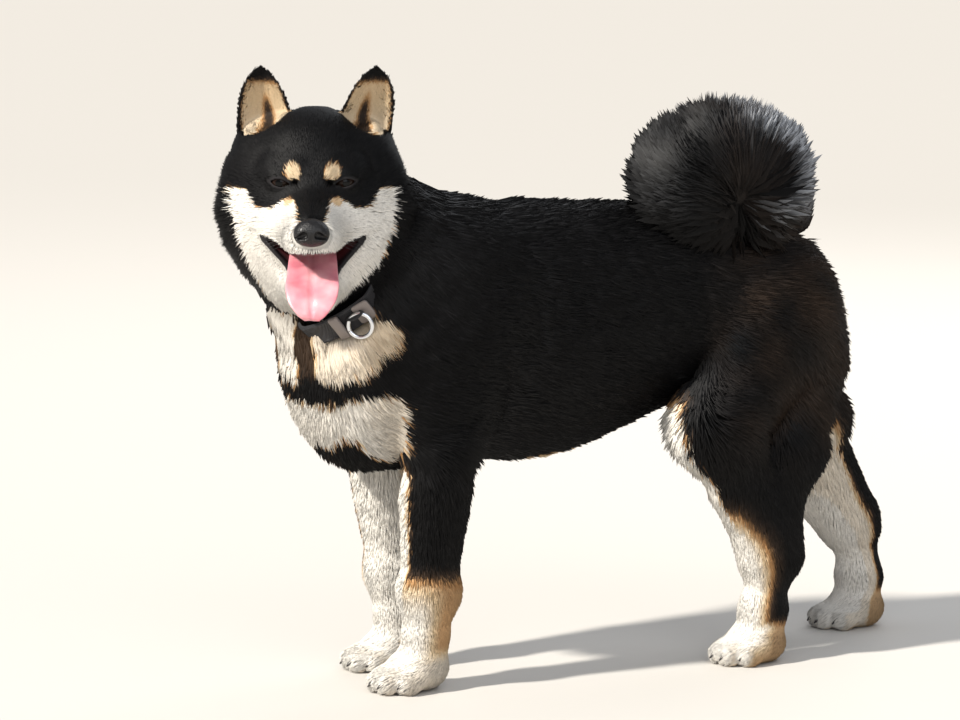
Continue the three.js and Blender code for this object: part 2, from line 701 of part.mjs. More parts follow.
keep('collar', collar.add(strapLoop()).subtract(ring(DRING.wire + GAP)), '#15161a', 0.7);
keep('collar_keeper', keeper(), '#8d8782', 0.5);
keep('collar_ring', ring(DRING.wire), '#c9ccd0', 0.3, 1);

const neckWhole = solidOf(dogField, ...BOX.neck, CELL.neck);
const neck = neckWhole.intersect(inside(NECK_REGION)).subtract(groove);
keep('neck', neck.subtract(ring(DRING.wire + GAP)), BLACK);

const torsoWhole = solidOf(dogField, ...BOX.torso, CELL.torso);
let torso = torsoWhole.intersect(inside(BODY_REGION));
for (const planes of Object.values(LEG_REGIONS)) torso = torso.subtract(around(planes));
keep('torso', torso.subtract(groove), BLACK);

// Legs, and paws with a claw on each toe
function claws({ paw, turn }) {
  const [c, s] = [Math.cos(rad(turn)), Math.sin(rad(turn))];
  return joined([[-18, 14], [-6.5, 26], [6.5, 26], [18, 14]].map(([side, forward]) => {
    const path = [0, 0.5, 1].map((t) => {
      const ahead = forward + CLAW.length * t;
      return new THREE.Vector3(
        paw[X] - ahead * c + side * s, paw[Y] - ahead * s - side * c, 11 - CLAW.drop * t * t,
      );
    });
    return solid(sweep(path, (t) => [CLAW.r * (1 - 0.8 * t), CLAW.r * (1 - 0.75 * t)], 6,
      new THREE.Vector3(0, 0, 1)));
  }));
}

for (const [name, leg] of Object.entries({ ...FORE, ...HIND })) {
  const whole = solidOf(dogField, ...legBox(leg, false), CELL.leg);
  keep(name, whole.intersect(inside(LEG_REGIONS[name])), BLACK);
  const pawName = name.replace('leg', 'paw');
  const paw = solidOf(dogField, ...legBox(leg, true), CELL.paw).add(claws(leg));
  keep(pawName, paw.intersect(inside(LEG_REGIONS[pawName])).intersect(FLOOR), CREAM);
}

// The tail: a core, and locks that rise from it and lean along it, out to the brush's radius
const tailLine = new THREE.CatmullRomCurve3(TAIL.map(([p]) => vec(p)));
const tailLength = tailLine.getLength();
const tailRadius = (t) => {
  const place = t * (TAIL.length - 1);
  const i = Math.min(TAIL.length - 2, Math.floor(place));
  return TAIL[i][1] + (TAIL[i + 1][1] - TAIL[i][1]) * (place - i);
};

// Away from the tail's middle line, at an angle round it from its outer left side
function outOfTail(t, turn) {
  const tangent = tailLine.getTangent(Math.min(t, 1));
  return new THREE.Vector3(0, 1, 0).projectOnPlane(tangent).normalize().applyAxisAngle(tangent, turn);
}

// A point of the brush at a share of the tail's length, which may run on past its end
function onBrush(t, turn, radius) {
  const past = Math.max(0, t - 1) * tailLength;
  return tailLine.getPoint(Math.min(t, 1)).addScaledVector(tailLine.getTangent(1), past)
    .addScaledVector(outOfTail(t, turn), radius);
}

function lock(t, turn, chance) {
  const { core, wide, thick, sunk, lean, reach: [least, most] } = BRUSH;
  const ahead = (lean * (0.8 + 0.4 * chance())) / tailLength;
  const radius = tailRadius(t);
  const tip = tailRadius(Math.min(1, t + ahead)) * (least + (most - least) * chance());
  const curve = new THREE.QuadraticBezierCurve3(
    onBrush(t, turn, radius * core - sunk),
    onBrush(t + ahead * 0.3, turn, Math.max(radius, tip) * 0.9),
    onBrush(t + ahead, turn, tip),
  );
  const size = (s) => [
    wide * (0.6 + 1.6 * s) * (1 - s) ** 0.8 + 0.6, thick * (1 - s) ** 0.6 + 0.5,
  ];
  const facing = outOfTail(t, turn).addScaledVector(tailLine.getTangent(t), -0.5);
  return solid(sweep(curve.getPoints(3), size, 3, facing, Math.PI / 2));
}

function brush() {
  const chance = THREE.MathUtils.seededRandom;
  chance(BRUSH.seed);
  const locks = [];
  for (let row = 0; row < BRUSH.rows; row++)
    for (let i = 0; i < BRUSH.around; i++) {
      const t = (row + 0.2 + 0.4 * chance()) / BRUSH.rows;
      const turn = (2 * Math.PI * (i + 0.5 * (row % 2) + 0.3 * chance())) / BRUSH.around;
      locks.push(lock(t, turn, chance));
    }
  return joined(locks);
}

const core = TAIL.slice(1).map(([to, r], i) => limb({
  from: TAIL[i][0], to, r: [TAIL[i][1] * BRUSH.core, r * BRUSH.core],
}));
const tailBox = [[180, -130, 310], [430, 50, 510]];
const torsoGrown = solidOf(dogField, ...BOX.torso, CELL.torso, CLEAR);
const tail = solidOf(blend(12, ...core), ...tailBox, CELL.tail).add(brush());
keep('tail', tail.subtract(torsoGrown).subtract(torsoWhole), BLACK);

const dog = new THREE.Group();
for (const [name, { manifold, colour, roughness, metalness }] of nodes) {
  const material = new THREE.MeshStandardMaterial({ color: colour, roughness, metalness });
  const mesh = new THREE.Mesh(geometryOf(manifold), material);
  mesh.name = name;
  dog.add(mesh);
}

// The origin is under the middle of the whole
const bounds = new THREE.Box3().setFromObject(dog);
const middle = bounds.getCenter(new THREE.Vector3());
for (const mesh of dog.children) mesh.geometry.translate(-middle.x, -middle.y, -bounds.min.z);

export default dog;
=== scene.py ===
# A standing Shiba Inu, black and tan, at life size: one skin under a coat of tufts, with eyes,
# nose, tongue, claws, whiskers and a collar. The body is a smooth field of rounded masses whose
# zero is the outside of the coat, in millimetres, with the solids' measures; only the tail has a
# core and a brush of its own. Meshes are put into the model's frame, in metres, when they are made.
import math

import bpy
import numpy as np
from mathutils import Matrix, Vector


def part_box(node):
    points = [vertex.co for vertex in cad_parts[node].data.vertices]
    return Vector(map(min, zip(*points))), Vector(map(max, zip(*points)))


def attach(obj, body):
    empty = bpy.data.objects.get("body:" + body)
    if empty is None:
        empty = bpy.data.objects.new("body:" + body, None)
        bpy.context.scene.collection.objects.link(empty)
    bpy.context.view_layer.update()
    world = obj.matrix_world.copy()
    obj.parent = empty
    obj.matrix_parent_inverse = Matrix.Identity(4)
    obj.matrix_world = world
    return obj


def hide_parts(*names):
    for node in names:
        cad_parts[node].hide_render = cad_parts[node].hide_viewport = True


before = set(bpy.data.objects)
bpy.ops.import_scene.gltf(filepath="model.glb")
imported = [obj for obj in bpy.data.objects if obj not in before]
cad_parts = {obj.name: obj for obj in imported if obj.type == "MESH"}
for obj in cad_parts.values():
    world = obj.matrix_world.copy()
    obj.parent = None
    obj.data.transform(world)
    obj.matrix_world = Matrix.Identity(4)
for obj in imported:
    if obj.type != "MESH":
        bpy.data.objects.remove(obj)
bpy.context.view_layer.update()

X, Y, Z = 0, 1, 2
F32 = np.float32


def vec(values):
    return np.array(values, F32)


def unit(v):
    return v / (np.linalg.norm(v, axis=-1, keepdims=True) + 1e-9)


def smooth(low, high, v):
    t = np.clip((v - low) / (high - low), 0, 1)
    return t * t * (3 - 2 * t)


def mix(a, b, share):
    return a + (b - a) * share


def cos_sin(degrees):
    return math.cos(math.radians(degrees)), math.sin(math.radians(degrees))


# Driving dimensions, most of them the solids' own; from the brush on, the coat's and the strap's
HEAD_AT = vec([-64, -6, 428])
HEAD_TURN, HEAD_NOD = 157, -4
EYE = dict(at=[25, 46.5, 0], r=9.0, outward=14)
LIDS = dict(half=8.6, up=3.3, down=2.6, tilt=0.16, thick=1.3)
NOSE = dict(at=[0, 108, -31.5], r=[13.5, 10.5, 11.5])
MOUTH = dict(corner=[36, -42], upper_slope=5, lower_slope=38, half_width=41, gum=34, least=4)
LIP = dict(r=1.9, inward=0.8)
EAR_HOLLOW, EAR_HOLLOW_R = [42, 9, 50], [16, 18, 18]
EAR = dict(base=[37, -8, 20], tip=[43, 9, 88], half_width=24.5, outward=12, cup=13, thick=5, left_lean=9,
           taper=2.6, roundness=0.6)
# Leaf depths from here on are the hair inside the ear, not on its back
EAR_INSIDE = -1.8
TONGUE = [[40, -45, 17], [60, -58, 19], [80, -70, 20.5], [96, -79, 21.5], [106, -88, 19], [110, -96, 13],
          [109, -102, 6]]
NECK_ALONG = vec([0.665, 0.2, -0.72])
TORSO = [([110, 0, 285], [160, 80, 104]), ([18, 0, 283], [88, 79, 101]), ([235, 0, 301], [125, 69, 80]),
         ([328, 0, 300], [84, 74, 80]), ([-26, 0, 248], [46, 56, 58])]
BACK = ([60, 0, 337], [318, 0, 332], 58, 50)
NECK_TOP = ([40, 0, 314], [-60, 4, 404], 82, 66)
THROAT = ([-10, 0, 285], [-62, -2, 372], 72, 62)
FORE = {
    "left": dict(side=-1, elbow=[25, -56, 205], wrist=[19, -50, 85], paw=[0, -46], turn=14),
    "right": dict(side=1, elbow=[20, 56, 205], wrist=[31, 52, 85], paw=[16, 48], turn=4),
}
HIND = {
    "left": dict(side=-1, hip=[336, -38, 290], knee=[278, -60, 212], hock=[333, -54, 99],
                 heel=[334, -54, 86], pastern=[328, -53, 45], paw=[313, -52], turn=12, seat=[370, -36, 262],
                 breech=[352, -52, 184]),
    "right": dict(side=1, hip=[342, 38, 290], knee=[350, 62, 210], hock=[468, 60, 102],
                  heel=[477, 60, 86], pastern=[483, 60, 45], paw=[470, 60], turn=0, seat=[390, 36, 255],
                  breech=[430, 52, 196]),
}
TAIL = [([364, -2, 350], 26), ([364, -8, 384], 31), ([342, -20, 420], 35), ([300, -34, 442], 37),
        ([258, -48, 434], 37), ([240, -58, 410], 36), ([268, -66, 396], 31), ([312, -64, 399], 23),
        ([344, -60, 404], 14)]
COLLAR = dict(width=21, thick=3.5, sunk=5, hidden=10, segments=144, middle=[-24, -4, 356])
KEEPER = dict(turn=51, wide=9, tall=23, thick=4.4, corner=1.6)
DRING = dict(turn=63, r=10, wire=1.9, lean=26, top=-4)
CLAW = dict(length=10, r=3.2, drop=5, places=[(-18, 14), (-6.5, 26), (6.5, 26), (18, 14)])
TOES = [(-17, 8, 10.5), (-6, 19, 11), (6, 19, 11), (17, 8, 10.5)]
# The brush fills the tail's curl: its middle and half sizes, where its hair fans out from, where the
# hair of its end lies to the rear, and the core under it
TAIL_MIDDLE, TAIL_ROUND = vec([293, -40, 416]), vec([75, 50, 60])
TAIL_FAN = vec([304, -40, 394])
TAIL_SWIRL = dict(at=[322, 386], r=34)
TAIL_CORE = dict(r=[46, 27, 35], bend=[350, -14, 386], inner=[320, -32, 412], radii=(17, 19, 23))
BUCKLE = dict(turn=68, wide=15, tall=19, thick=2.6, corner=2.4)
# The stretch of the strap that the coat leaves in sight, by its angles
SHOWN = (31, 73)
# Hair past this place on the right lies closer, as on the solids
WIDEST = dict(at=97, drawn_in=0.75)
FLOOR_GAP = 0.3
# How softly masses run into each other: within a form, and where a form stands on the body
BLEND = dict(torso=34, neck=30, body=26, skull=18, muzzle=10, face=16, thigh=24, leg=14, paw=4.5, tail=14)
BLEND_ON = dict(head=18, leg=20, ear=5, tail=10)
# A field that is kept to its own box is given as at least this far away beyond it
BEYOND = 30

# Fields: each takes points, one in a row, and gives their distances to a surface, negative inside


def ball(at, r):
    at, r = vec(at), vec(r) * np.ones(3, F32)

    def field(p):
        a = (p - at) / r
        near = np.sqrt((a * a).sum(1))
        a /= r
        return near * (near - 1) / (np.sqrt((a * a).sum(1)) + 1e-9)
    return field


def limb(start, end, r0, r1, thin=1.0):
    start, end = vec(start), vec(end)
    squeeze = vec([1, 1 / thin, 1])
    along = (end - start) * squeeze
    square = (along * along).sum()

    def field(p):
        q = (p - start) * squeeze
        t = np.clip(q @ along / square, 0, 1)
        q -= t[:, None] * along
        return np.sqrt((q * q).sum(1)) - mix(r0, r1, t)
    return field


def soft_min(a, b, k):
    h = np.clip(0.5 + 0.5 * (b - a) / k, 0, 1)
    return b + (a - b) * h - k * h * (1 - h)


def soft_max(a, b, k):
    return -soft_min(-a, -b, k)


def blend(k, *fields):
    def field(p):
        d = fields[0](p)
        for other in fields[1:]:
            d = soft_min(d, other(p), k)
        return d
    return field


def within(low, high, field):
    """The field in its own box only, and given as far away elsewhere."""
    low, high = vec(low), vec(high)

    def limited(p):
        out = np.maximum(low - p, p - high).max(1)
        d = (np.maximum(out, 0) + BEYOND).astype(F32)
        near = out <= 0
        if near.any():
            d[near] = field(p[near])
        return d
    return limited


# The head's frame: x to the dog's right, y forward out of the face, z up

def turn_z(degrees):
    c, s = cos_sin(degrees)
    return np.array([[c, -s, 0], [s, c, 0], [0, 0, 1]])


def turn_x(degrees):
    c, s = cos_sin(degrees)
    return np.array([[1, 0, 0], [0, c, -s], [0, s, c]])


HEAD_R = (turn_z(HEAD_TURN) @ turn_x(HEAD_NOD)).astype(F32)


def to_head(p):
    return (p - HEAD_AT) @ HEAD_R


def from_head(q):
    return vec(q) @ HEAD_R.T + HEAD_AT


def aim(q):
    return vec(q) @ HEAD_R.T


skull = blend(
    BLEND["skull"],
    ball([0, -8, 8], [57, 60, 48]),
    ball([0, 16, 24], [42, 34, 27]),
    ball([40, -12, 12], [29, 38, 38]),
    ball([35, 0, -27], [45, 44, 48]),
    ball([0, 0, -58], [50, 40, 50]),
    ball([0, -42, -14], [58, 44, 60]),
)
muzzle = blend(
    BLEND["muzzle"],
    limb([0, 40, -28], [0, 93, -36], 31, 17),
    limb([14, 46, -41], [9, 95, -40], 23, 13),
    ball([0, 33, -6], [33, 22, 20]),
)
closed_head = blend(BLEND["face"], skull, muzzle, limb([9, 20, -76], [8, 77, -87], 25, 13.5))


def mouth_gap(q):
    """Negative between the jaws; q is in the head's frame with x made positive."""
    y0, z0 = MOUTH["corner"]
    up, down = math.radians(MOUTH["upper_slope"]), math.radians(MOUTH["lower_slope"])
    y, z = q[:, Y] - y0, q[:, Z] - z0
    palate = z * math.cos(up) + y * math.sin(up)
    opening = MOUTH["least"] + y * (math.tan(down) - math.tan(up))
    open_here = np.clip((MOUTH["half_width"] + 2 - q[:, X]) / 23, 0, 1)
    floor = (-opening * open_here - z - y * math.tan(up)) * math.cos(down)
    sides = np.maximum(MOUTH["gum"] - q[:, Y], q[:, X] - MOUTH["half_width"])
    return soft_max(soft_max(palate, floor, 3), sides, 4)


def mirrored(q):
    q = q.copy()
    q[:, X] = np.abs(q[:, X])
    return q


def outer_head(p):
    """The skin of head and neck before the mouth is cut into it."""
    depth = coat_depth(p)
    return soft_min(body_field(p) + depth, closed_head(mirrored(to_head(p))) + depth, BLEND_ON["head"])


def lip_roll(p, outer):
    """The rolled edge of the lips, where the face turns into the mouth."""
    q = mirrored(to_head(p))
    roll = np.hypot(outer + LIP["inward"], mouth_gap(q) - 0.3) - LIP["r"]
    return np.where(q[:, Y] > MOUTH["gum"] - 4, roll, 9)


def paw_place(leg, forward, side, z):
    c, s = cos_sin(leg["turn"])
    return [leg["paw"][X] - forward * c + side * s, leg["paw"][Y] - forward * s - side * c, z]


def paw_field(leg):
    toes = [
        limb(paw_place(leg, forward - 16, side * 0.85, 17), paw_place(leg, forward + 2, side, 9.5), r + 1, r)
        for side, forward, r in TOES
    ]
    return blend(BLEND["paw"], *toes, ball(paw_place(leg, -10, 0, 16), [24, 22, 18]))


def fore_field(leg):
    px, py = leg["paw"]
    return blend(
        BLEND["leg"],
        ball([24, leg["side"] * 52, 258], [48, 36, 78]),
        limb(leg["elbow"], leg["wrist"], 31, 23),
        limb(leg["wrist"], [px + 16, py, 27], 23, 19),
        paw_field(leg),
    )


def hind_field(leg):
    px, py = leg["paw"]
    thigh = blend(
        BLEND["thigh"],
        limb(leg["hip"], leg["knee"], 64, 37, 0.62),
        limb(leg["seat"], leg["breech"], 41, 28, 0.66),
        limb(leg["knee"], leg["hock"], 35, 26, 0.78),
        limb(leg["breech"], leg["hock"], 24, 22, 0.8),
    )
    return blend(
        BLEND["leg"],
        thigh,
        limb(leg["heel"], leg["pastern"], 22, 18, 0.9),
        limb(leg["pastern"], [px + 12, py, 23], 18, 18),
        paw_field(leg),
    )


def leg_field(leg, shape):
    px, side = leg["paw"][X], leg["side"]
    return within([px - 230, side * 50 - 80, -30], [px + 190, side * 50 + 80, 400], shape(leg))


body_field = blend(
    BLEND["body"],
    blend(BLEND["torso"], *[ball(at, r) for at, r in TORSO], limb(*BACK)),
    blend(BLEND["neck"], limb(*NECK_TOP), limb(*THROAT)),
)
leg_parts = ([leg_field(leg, fore_field) for leg in FORE.values()]
             + [leg_field(leg, hind_field) for leg in HIND.values()])

# The coat's depth over the skin: at some places, and what it gains from one height to another
COAT = dict(paw=1.8, neck=16, nape=14, face=3.2, cheek=6.5, crown=7, muzzle=1.8, throat=5)
BODY_COAT = [(38, 60, 1.2), (60, 120, 3), (120, 235, 7.5)]


def neck_place(p):
    """How far a point is along the neck, from the middle of the head down to the shoulders."""
    return (p - HEAD_AT) @ (NECK_ALONG / np.linalg.norm(NECK_ALONG))


def coat_depth(p):
    q = mirrored(to_head(p))
    x, y, z = q.T
    height, place = p[:, Z], neck_place(p)
    body = COAT["paw"]
    for low, high, more in BODY_COAT:
        body = body + more * smooth(low, high, height)
    neck = smooth(120, 80, place) * smooth(200, 260, height)
    body = mix(body, COAT["neck"], neck)
    face = COAT["face"] + COAT["cheek"] * smooth(34, 60, x) * smooth(20, -20, z)
    face = face + COAT["crown"] * smooth(20, -30, y)
    face = mix(face, COAT["muzzle"], smooth(30, 62, y))
    face = face + COAT["throat"] * smooth(-70, -100, z) * smooth(60, 20, y)
    face = face + (COAT["nape"] - face) * smooth(24, 58, place) * smooth(42, 12, y)
    on_head = smooth(75, 40, place) * smooth(160, 120, np.linalg.norm(q, axis=1))
    return mix(body, face, on_head)


def ear_leaf(p, side):
    """A cupped leaf: its field, and where a point lies on it, as a share of its length and width."""
    q = to_head(p)
    base, tip = vec(EAR["base"]), vec(EAR["tip"])
    lean = EAR["left_lean"] if side < 0 else 0
    rise = tip[Z] - base[Z]
    s = (q[:, Z] - base[Z]) / rise
    inner = np.clip(s, 0, 0.999)
    rx = side * q[:, X] - base[X] - (tip[X] - base[X]) * s - lean * s
    ry = q[:, Y] - base[Y] - (tip[Y] - base[Y]) * s
    c, w = cos_sin(EAR["outward"])
    across, depth = rx * c - ry * w, rx * w + ry * c
    half = EAR["half_width"] * (1 - inner ** EAR["taper"]) ** EAR["roundness"] + 0.2
    u = np.clip(across / half, -1, 1)
    bowl = EAR["cup"] * half / EAR["half_width"] * (u * u - 0.6)
    thick = EAR["thick"] * (1 - 0.35 * inner) * np.sqrt(1 - 0.5 * u * u)
    slab = np.maximum(depth - bowl + 0.5, bowl - thick + 0.8 - depth) * 0.75
    edge = np.maximum(np.abs(across) - half + 0.5, (s - 1) * rise)
    return soft_max(soft_max(slab, edge, 1.5), (-0.3 - s) * rise, 2), s, across / half, depth - bowl


def eye_frame(side):
    turn = math.radians(EYE["outward"])
    forward = aim([side * math.sin(turn), math.cos(turn), 0])
    up = aim([0, 0, 1])
    outward = np.cross(up, forward) * -side
    return from_head([side * EYE["at"][X], *EYE["at"][1:]]), outward, up, forward


def eye_slit(p, side):
    """Negative in the almond between the lids."""
    at, outward, up, forward = eye_frame(side)
    d = p - at
    u, v, w = d @ outward, d @ up, d @ forward
    share = np.clip(u / LIDS["half"], -1, 1)
    lift = LIDS["tilt"] * u
    round_up = 1 - np.abs(share + 0.15) ** 2.2
    upper = v - lift - LIDS["up"] * round_up
    lower = lift - LIDS["down"] * (1 - share * share) - v
    return np.maximum(np.maximum(upper, lower), np.maximum(np.abs(u) - LIDS["half"], 4 - w))


# Under the brush the curl is one rounded core on the tail's root
tail_core = blend(
    BLEND["tail"],
    ball(TAIL_MIDDLE, TAIL_CORE["r"]),
    limb(TAIL[0][0], TAIL_CORE["bend"], TAIL_CORE["radii"][0], TAIL_CORE["radii"][1]),
    limb(TAIL_CORE["bend"], TAIL_CORE["inner"], TAIL_CORE["radii"][1], TAIL_CORE["radii"][2]),
)
tail_part = within([180, -130, 300], [430, 50, 500], tail_core)


def ear_part(side):
    middle = from_head([side * 42, 0, 55])
    return within(middle - 62, middle + 62, lambda p: ear_leaf(p, side)[0])


def concha(p, side):
    """The hollow in front of an ear's foot."""
    return ball(from_head([side * EAR_HOLLOW[0], *EAR_HOLLOW[1:]]), EAR_HOLLOW_R)(p)


def head_skin(p):
    """The head without its coat, hollowed before the ears."""
    d = closed_head(mirrored(to_head(p))) + coat_depth(p)
    for side in (1, -1):
        d = soft_max(d, -concha(p, side), 5)
    return d


head_part = within([-240, -160, 240], [80, 140, 560], head_skin)


def face_details(p, d):
    """The mouth, lips, brows and lids on the field of the face."""
    lips = lip_roll(p, d)
    d = soft_max(d, 0.5 - mouth_gap(mirrored(to_head(p))), 3)
    d = soft_min(d, lips, 1.6)
    for side in (1, -1):
        lids = ball(eye_frame(side)[0], EYE["r"] + LIDS["thick"])
        d = soft_min(d, lids(p), 3.5)
        brow = limb(from_head([side * 14, 47, 9]), from_head([side * 30, 42, 9]), 5, 5)
        d = soft_min(d, brow(p), 12)
        d = soft_max(d, -ball(from_head([side * 13, 57, -1]), 5)(p) - 1.5, 3)
    for side in (1, -1):
        d = soft_max(d, -eye_slit(p, side), 0.8)
        socket = ball(eye_frame(side)[0], EYE["r"] + 0.1)
        d = soft_max(d, -socket(p), 0.3)
    return d


FACE_BOX = dict(middle=from_head([0, 70, -30]), half=75)


def skin_field(p):
    depth = coat_depth(p)
    d = soft_min(body_field(p) + depth, head_part(p), BLEND_ON["head"])
    for leg in leg_parts:
        d = soft_min(d, leg(p) + depth, BLEND_ON["leg"])
    for side in (1, -1):
        d = soft_min(d, ear_part(side)(p), BLEND_ON["ear"])
    d = soft_min(d, tail_part(p), BLEND_ON["tail"])
    low, high = FACE_BOX["middle"] - FACE_BOX["half"], FACE_BOX["middle"] + FACE_BOX["half"]
    in_face = ((p > low) & (p < high)).all(1)
    if in_face.any():
        d[in_face] = face_details(p[in_face], d[in_face])
    return np.maximum(d, 0.4 - p[:, Z])


# Meshing: one vertex in each cell that a surface crosses, drawn onto the surface
AT_ONCE = 300000
FARTHEST_MOVE = 1.2


def spaced(*stretches):
    """Grid places along an axis, from stretches of (start, end, cell)."""
    return np.concatenate([np.arange(a, b - cell * 0.5, cell) for a, b, cell in stretches]).astype(F32)


def all_places(*axes):
    """Every combination of places along the axes, one in a row."""
    return np.stack(np.meshgrid(*axes, indexing="ij"), -1).reshape(-1, len(axes))


def in_parts(work, rows):
    """What the work gives for all rows, a part of them at a time."""
    return np.concatenate([work(rows[i:i + AT_ONCE]) for i in range(0, len(rows), AT_ONCE)])


def gradient(field, p, step=0.4):
    g = np.zeros_like(p)
    for i in range(3):
        move = np.zeros(3, F32)
        move[i] = step
        g[:, i] = (field(p + move) - field(p - move)) / (2 * step)
    return g


def drawn(field, p):
    """The points moved onto the field's zero, a cell or so at most."""
    g = gradient(field, p)
    move = -(field(p) / ((g * g).sum(1) + 1e-6))[:, None] * g
    size = np.linalg.norm(move, axis=1) + 1e-9
    return p + move * np.minimum(1, FARTHEST_MOVE / size)[:, None]


def surface(field, axes, block=8):
    """Points and quads of the field's zero on a grid with these places along each axis."""
    axes = [np.append(a, a[-1] + (a[-1] - a[-2]) * np.arange(1, 1 + (-len(a)) % block)) for a in axes]
    axes = [a.astype(F32) for a in axes]
    counts = [len(a) // block for a in axes]
    middles = [a.reshape(-1, block).mean(1) for a in axes]
    spans = [np.ptp(a.reshape(-1, block), axis=1) + 2 for a in axes]
    value = in_parts(field, all_places(*middles).astype(F32))
    near = np.abs(value) < np.linalg.norm(all_places(*spans), axis=1) * 0.8 + 10
    grid = np.empty([len(a) for a in axes], F32)
    blocks = grid.reshape(counts[0], block, counts[1], block, counts[2], block)
    blocks[:] = value.reshape(counts[0], 1, counts[1], 1, counts[2], 1)
    ids = np.stack(np.unravel_index(np.flatnonzero(near), counts), -1)
    inner = all_places(*[np.arange(block)] * 3)
    at_once = AT_ONCE // len(inner)
    for i in range(0, len(ids), at_once):
        some = ids[i:i + at_once]
        at = (some[:, None, :] * block + inner[None]).reshape(-1, 3)
        p = np.stack([axes[m][at[:, m]] for m in range(3)], 1)
        values = field(p).reshape(len(some), block, block, block)
        blocks[some[:, 0], :, some[:, 1], :, some[:, 2], :] = values
    solid = grid < 0
    count = np.zeros([n - 1 for n in grid.shape], np.int8)
    corners = [(a, b, c) for a in (0, 1) for b in (0, 1) for c in (0, 1)]
    for corner in corners:
        count += solid[tuple(slice(m, n - 1 + m) for m, n in zip(corner, grid.shape))]
    cells = np.argwhere((count > 0) & (count < 8))
    index = np.full(count.shape, -1, np.int64)
    index[tuple(cells.T)] = np.arange(len(cells))
    values = np.stack([grid[tuple((cells + corner).T)] for corner in corners], 1)
    total = np.zeros((len(cells), 3), F32)
    number = np.zeros(len(cells), F32)
    for i, one in enumerate(corners):
        for j, other in enumerate(corners):
            if j > i and sum(abs(s - t) for s, t in zip(one, other)) == 1:
                a, b = values[:, i], values[:, j]
                crossed = (a < 0) != (b < 0)
                t = np.where(crossed, a / np.where(crossed, a - b, 1), 0)
                place = vec(one) + t[:, None] * (vec(other) - vec(one))
                total += place * crossed[:, None]
                number += crossed
    share = total / number[:, None]
    start = np.stack([axes[m][cells[:, m]] for m in range(3)], 1)
    size = np.stack([axes[m][cells[:, m] + 1] - axes[m][cells[:, m]] for m in range(3)], 1)
    points = start + share * size
    for _ in range(2):
        points = in_parts(lambda p: drawn(field, p), points)
    quads = []
    for axis in range(3):
        u, w = (axis + 1) % 3, (axis + 2) % 3
        behind, ahead = [slice(None)] * 3, [slice(None)] * 3
        behind[axis], ahead[axis] = slice(0, -1), slice(1, None)
        first, second = solid[tuple(behind)], solid[tuple(ahead)]
        edge = np.argwhere(first != second)
        flip = ~first[tuple(edge.T)]
        around = []
        for du, dw in ((-1, -1), (0, -1), (0, 0), (-1, 0)):
            cell = edge.copy()
            cell[:, u] += du
            cell[:, w] += dw
            around.append(index[tuple(cell.T)])
        quad = np.stack(around, 1)
        quad[flip] = quad[flip][:, ::-1]
        quads.append(quad)
    return points, np.concatenate(quads)


def corner_normals(points, quads):
    a, b, c, d = (points[quads[:, i]] for i in range(4))
    face = np.cross(c - a, d - b)
    normal = np.zeros_like(points)
    for i in range(4):
        for m in range(3):
            normal[:, m] += np.bincount(quads[:, i], face[:, m], len(points))
    return unit(normal)


# From the solids' own millimetres to the model's frame: the eyes tell how far it was moved

def frame_shift():
    middles = [(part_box(name)[0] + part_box(name)[1]) / 2 for name in ("eye_left", "eye_right")]
    here = np.array((middles[0] + middles[1]) / 2) * 1000
    there = (eye_frame(1)[0] + eye_frame(-1)[0]) / 2
    return vec([here[X] - there[X], here[Y] - there[Y], 0])


SHIFT = frame_shift()


def metres(p):
    return (np.asarray(p, F32) + SHIFT) / 1000


def placed(name, data):
    """A new object in the scene."""
    made = bpy.data.objects.new(name, data)
    bpy.context.scene.collection.objects.link(made)
    return made


def mesh_object(name, points, faces, colours=None, uvs=None, normals=None):
    """An object from points in millimetres and arrays of faces, each of equal sides."""
    mesh = bpy.data.meshes.new(name)
    mesh.vertices.add(len(points))
    mesh.vertices.foreach_set("co", metres(points).ravel())
    loops = np.concatenate([f.ravel() for f in faces]).astype(np.int32)
    sides = np.concatenate([np.full(len(f), f.shape[1]) for f in faces])
    mesh.loops.add(len(loops))
    mesh.loops.foreach_set("vertex_index", loops)
    mesh.polygons.add(len(sides))
    mesh.polygons.foreach_set("loop_start", np.concatenate([[0], np.cumsum(sides)[:-1]]).astype(np.int32))
    mesh.polygons.foreach_set("use_smooth", np.ones(len(sides), bool))
    if uvs is not None:
        layer = mesh.uv_layers.new(name="OFBake")
        layer.data.foreach_set("uv", uvs[loops].astype(F32).ravel())
    mesh.update(calc_edges=True)
    if colours is not None:
        layer = mesh.color_attributes.new("Coat", "FLOAT_COLOR", "POINT")
        full = np.ones((len(points), 4), F32)
        full[:, :3] = colours
        layer.data.foreach_set("color", full.ravel())
    if normals is not None:
        layer = mesh.attributes.new("custom_normal", "FLOAT_VECTOR", "POINT")
        layer.data.foreach_set("vector", normals.astype(F32).ravel())
    return placed(name, mesh)


def dress(made, material, slot, *nodes):
    """Its material and body, and the nodes that it takes the place of; the slot is not used."""
    made.data.materials.append(material)
    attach(made, "root")
    if nodes:
        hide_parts(*nodes)


# Markings: colours in linear light
HEAD_PAINT = dict(neck=62, reach=165, chin=-118)
BLACK = vec([0.0036, 0.0033, 0.0036])
SMOKE = vec([0.060, 0.036, 0.022])
TAN = vec([0.52, 0.28, 0.115])
CREAM = vec([0.78, 0.60, 0.38])
WHITE = vec([0.90, 0.86, 0.79])
GUM = vec([0.010, 0.008, 0.009])
MOUTH_RED = vec([0.10, 0.016, 0.018])
SILVER = vec([0.78, 0.80, 0.84])
PUPIL = vec([0.001, 0.001, 0.001])
IRIS = vec([0.012, 0.0055, 0.003])
EYE_WHITE = vec([0.045, 0.03, 0.026])


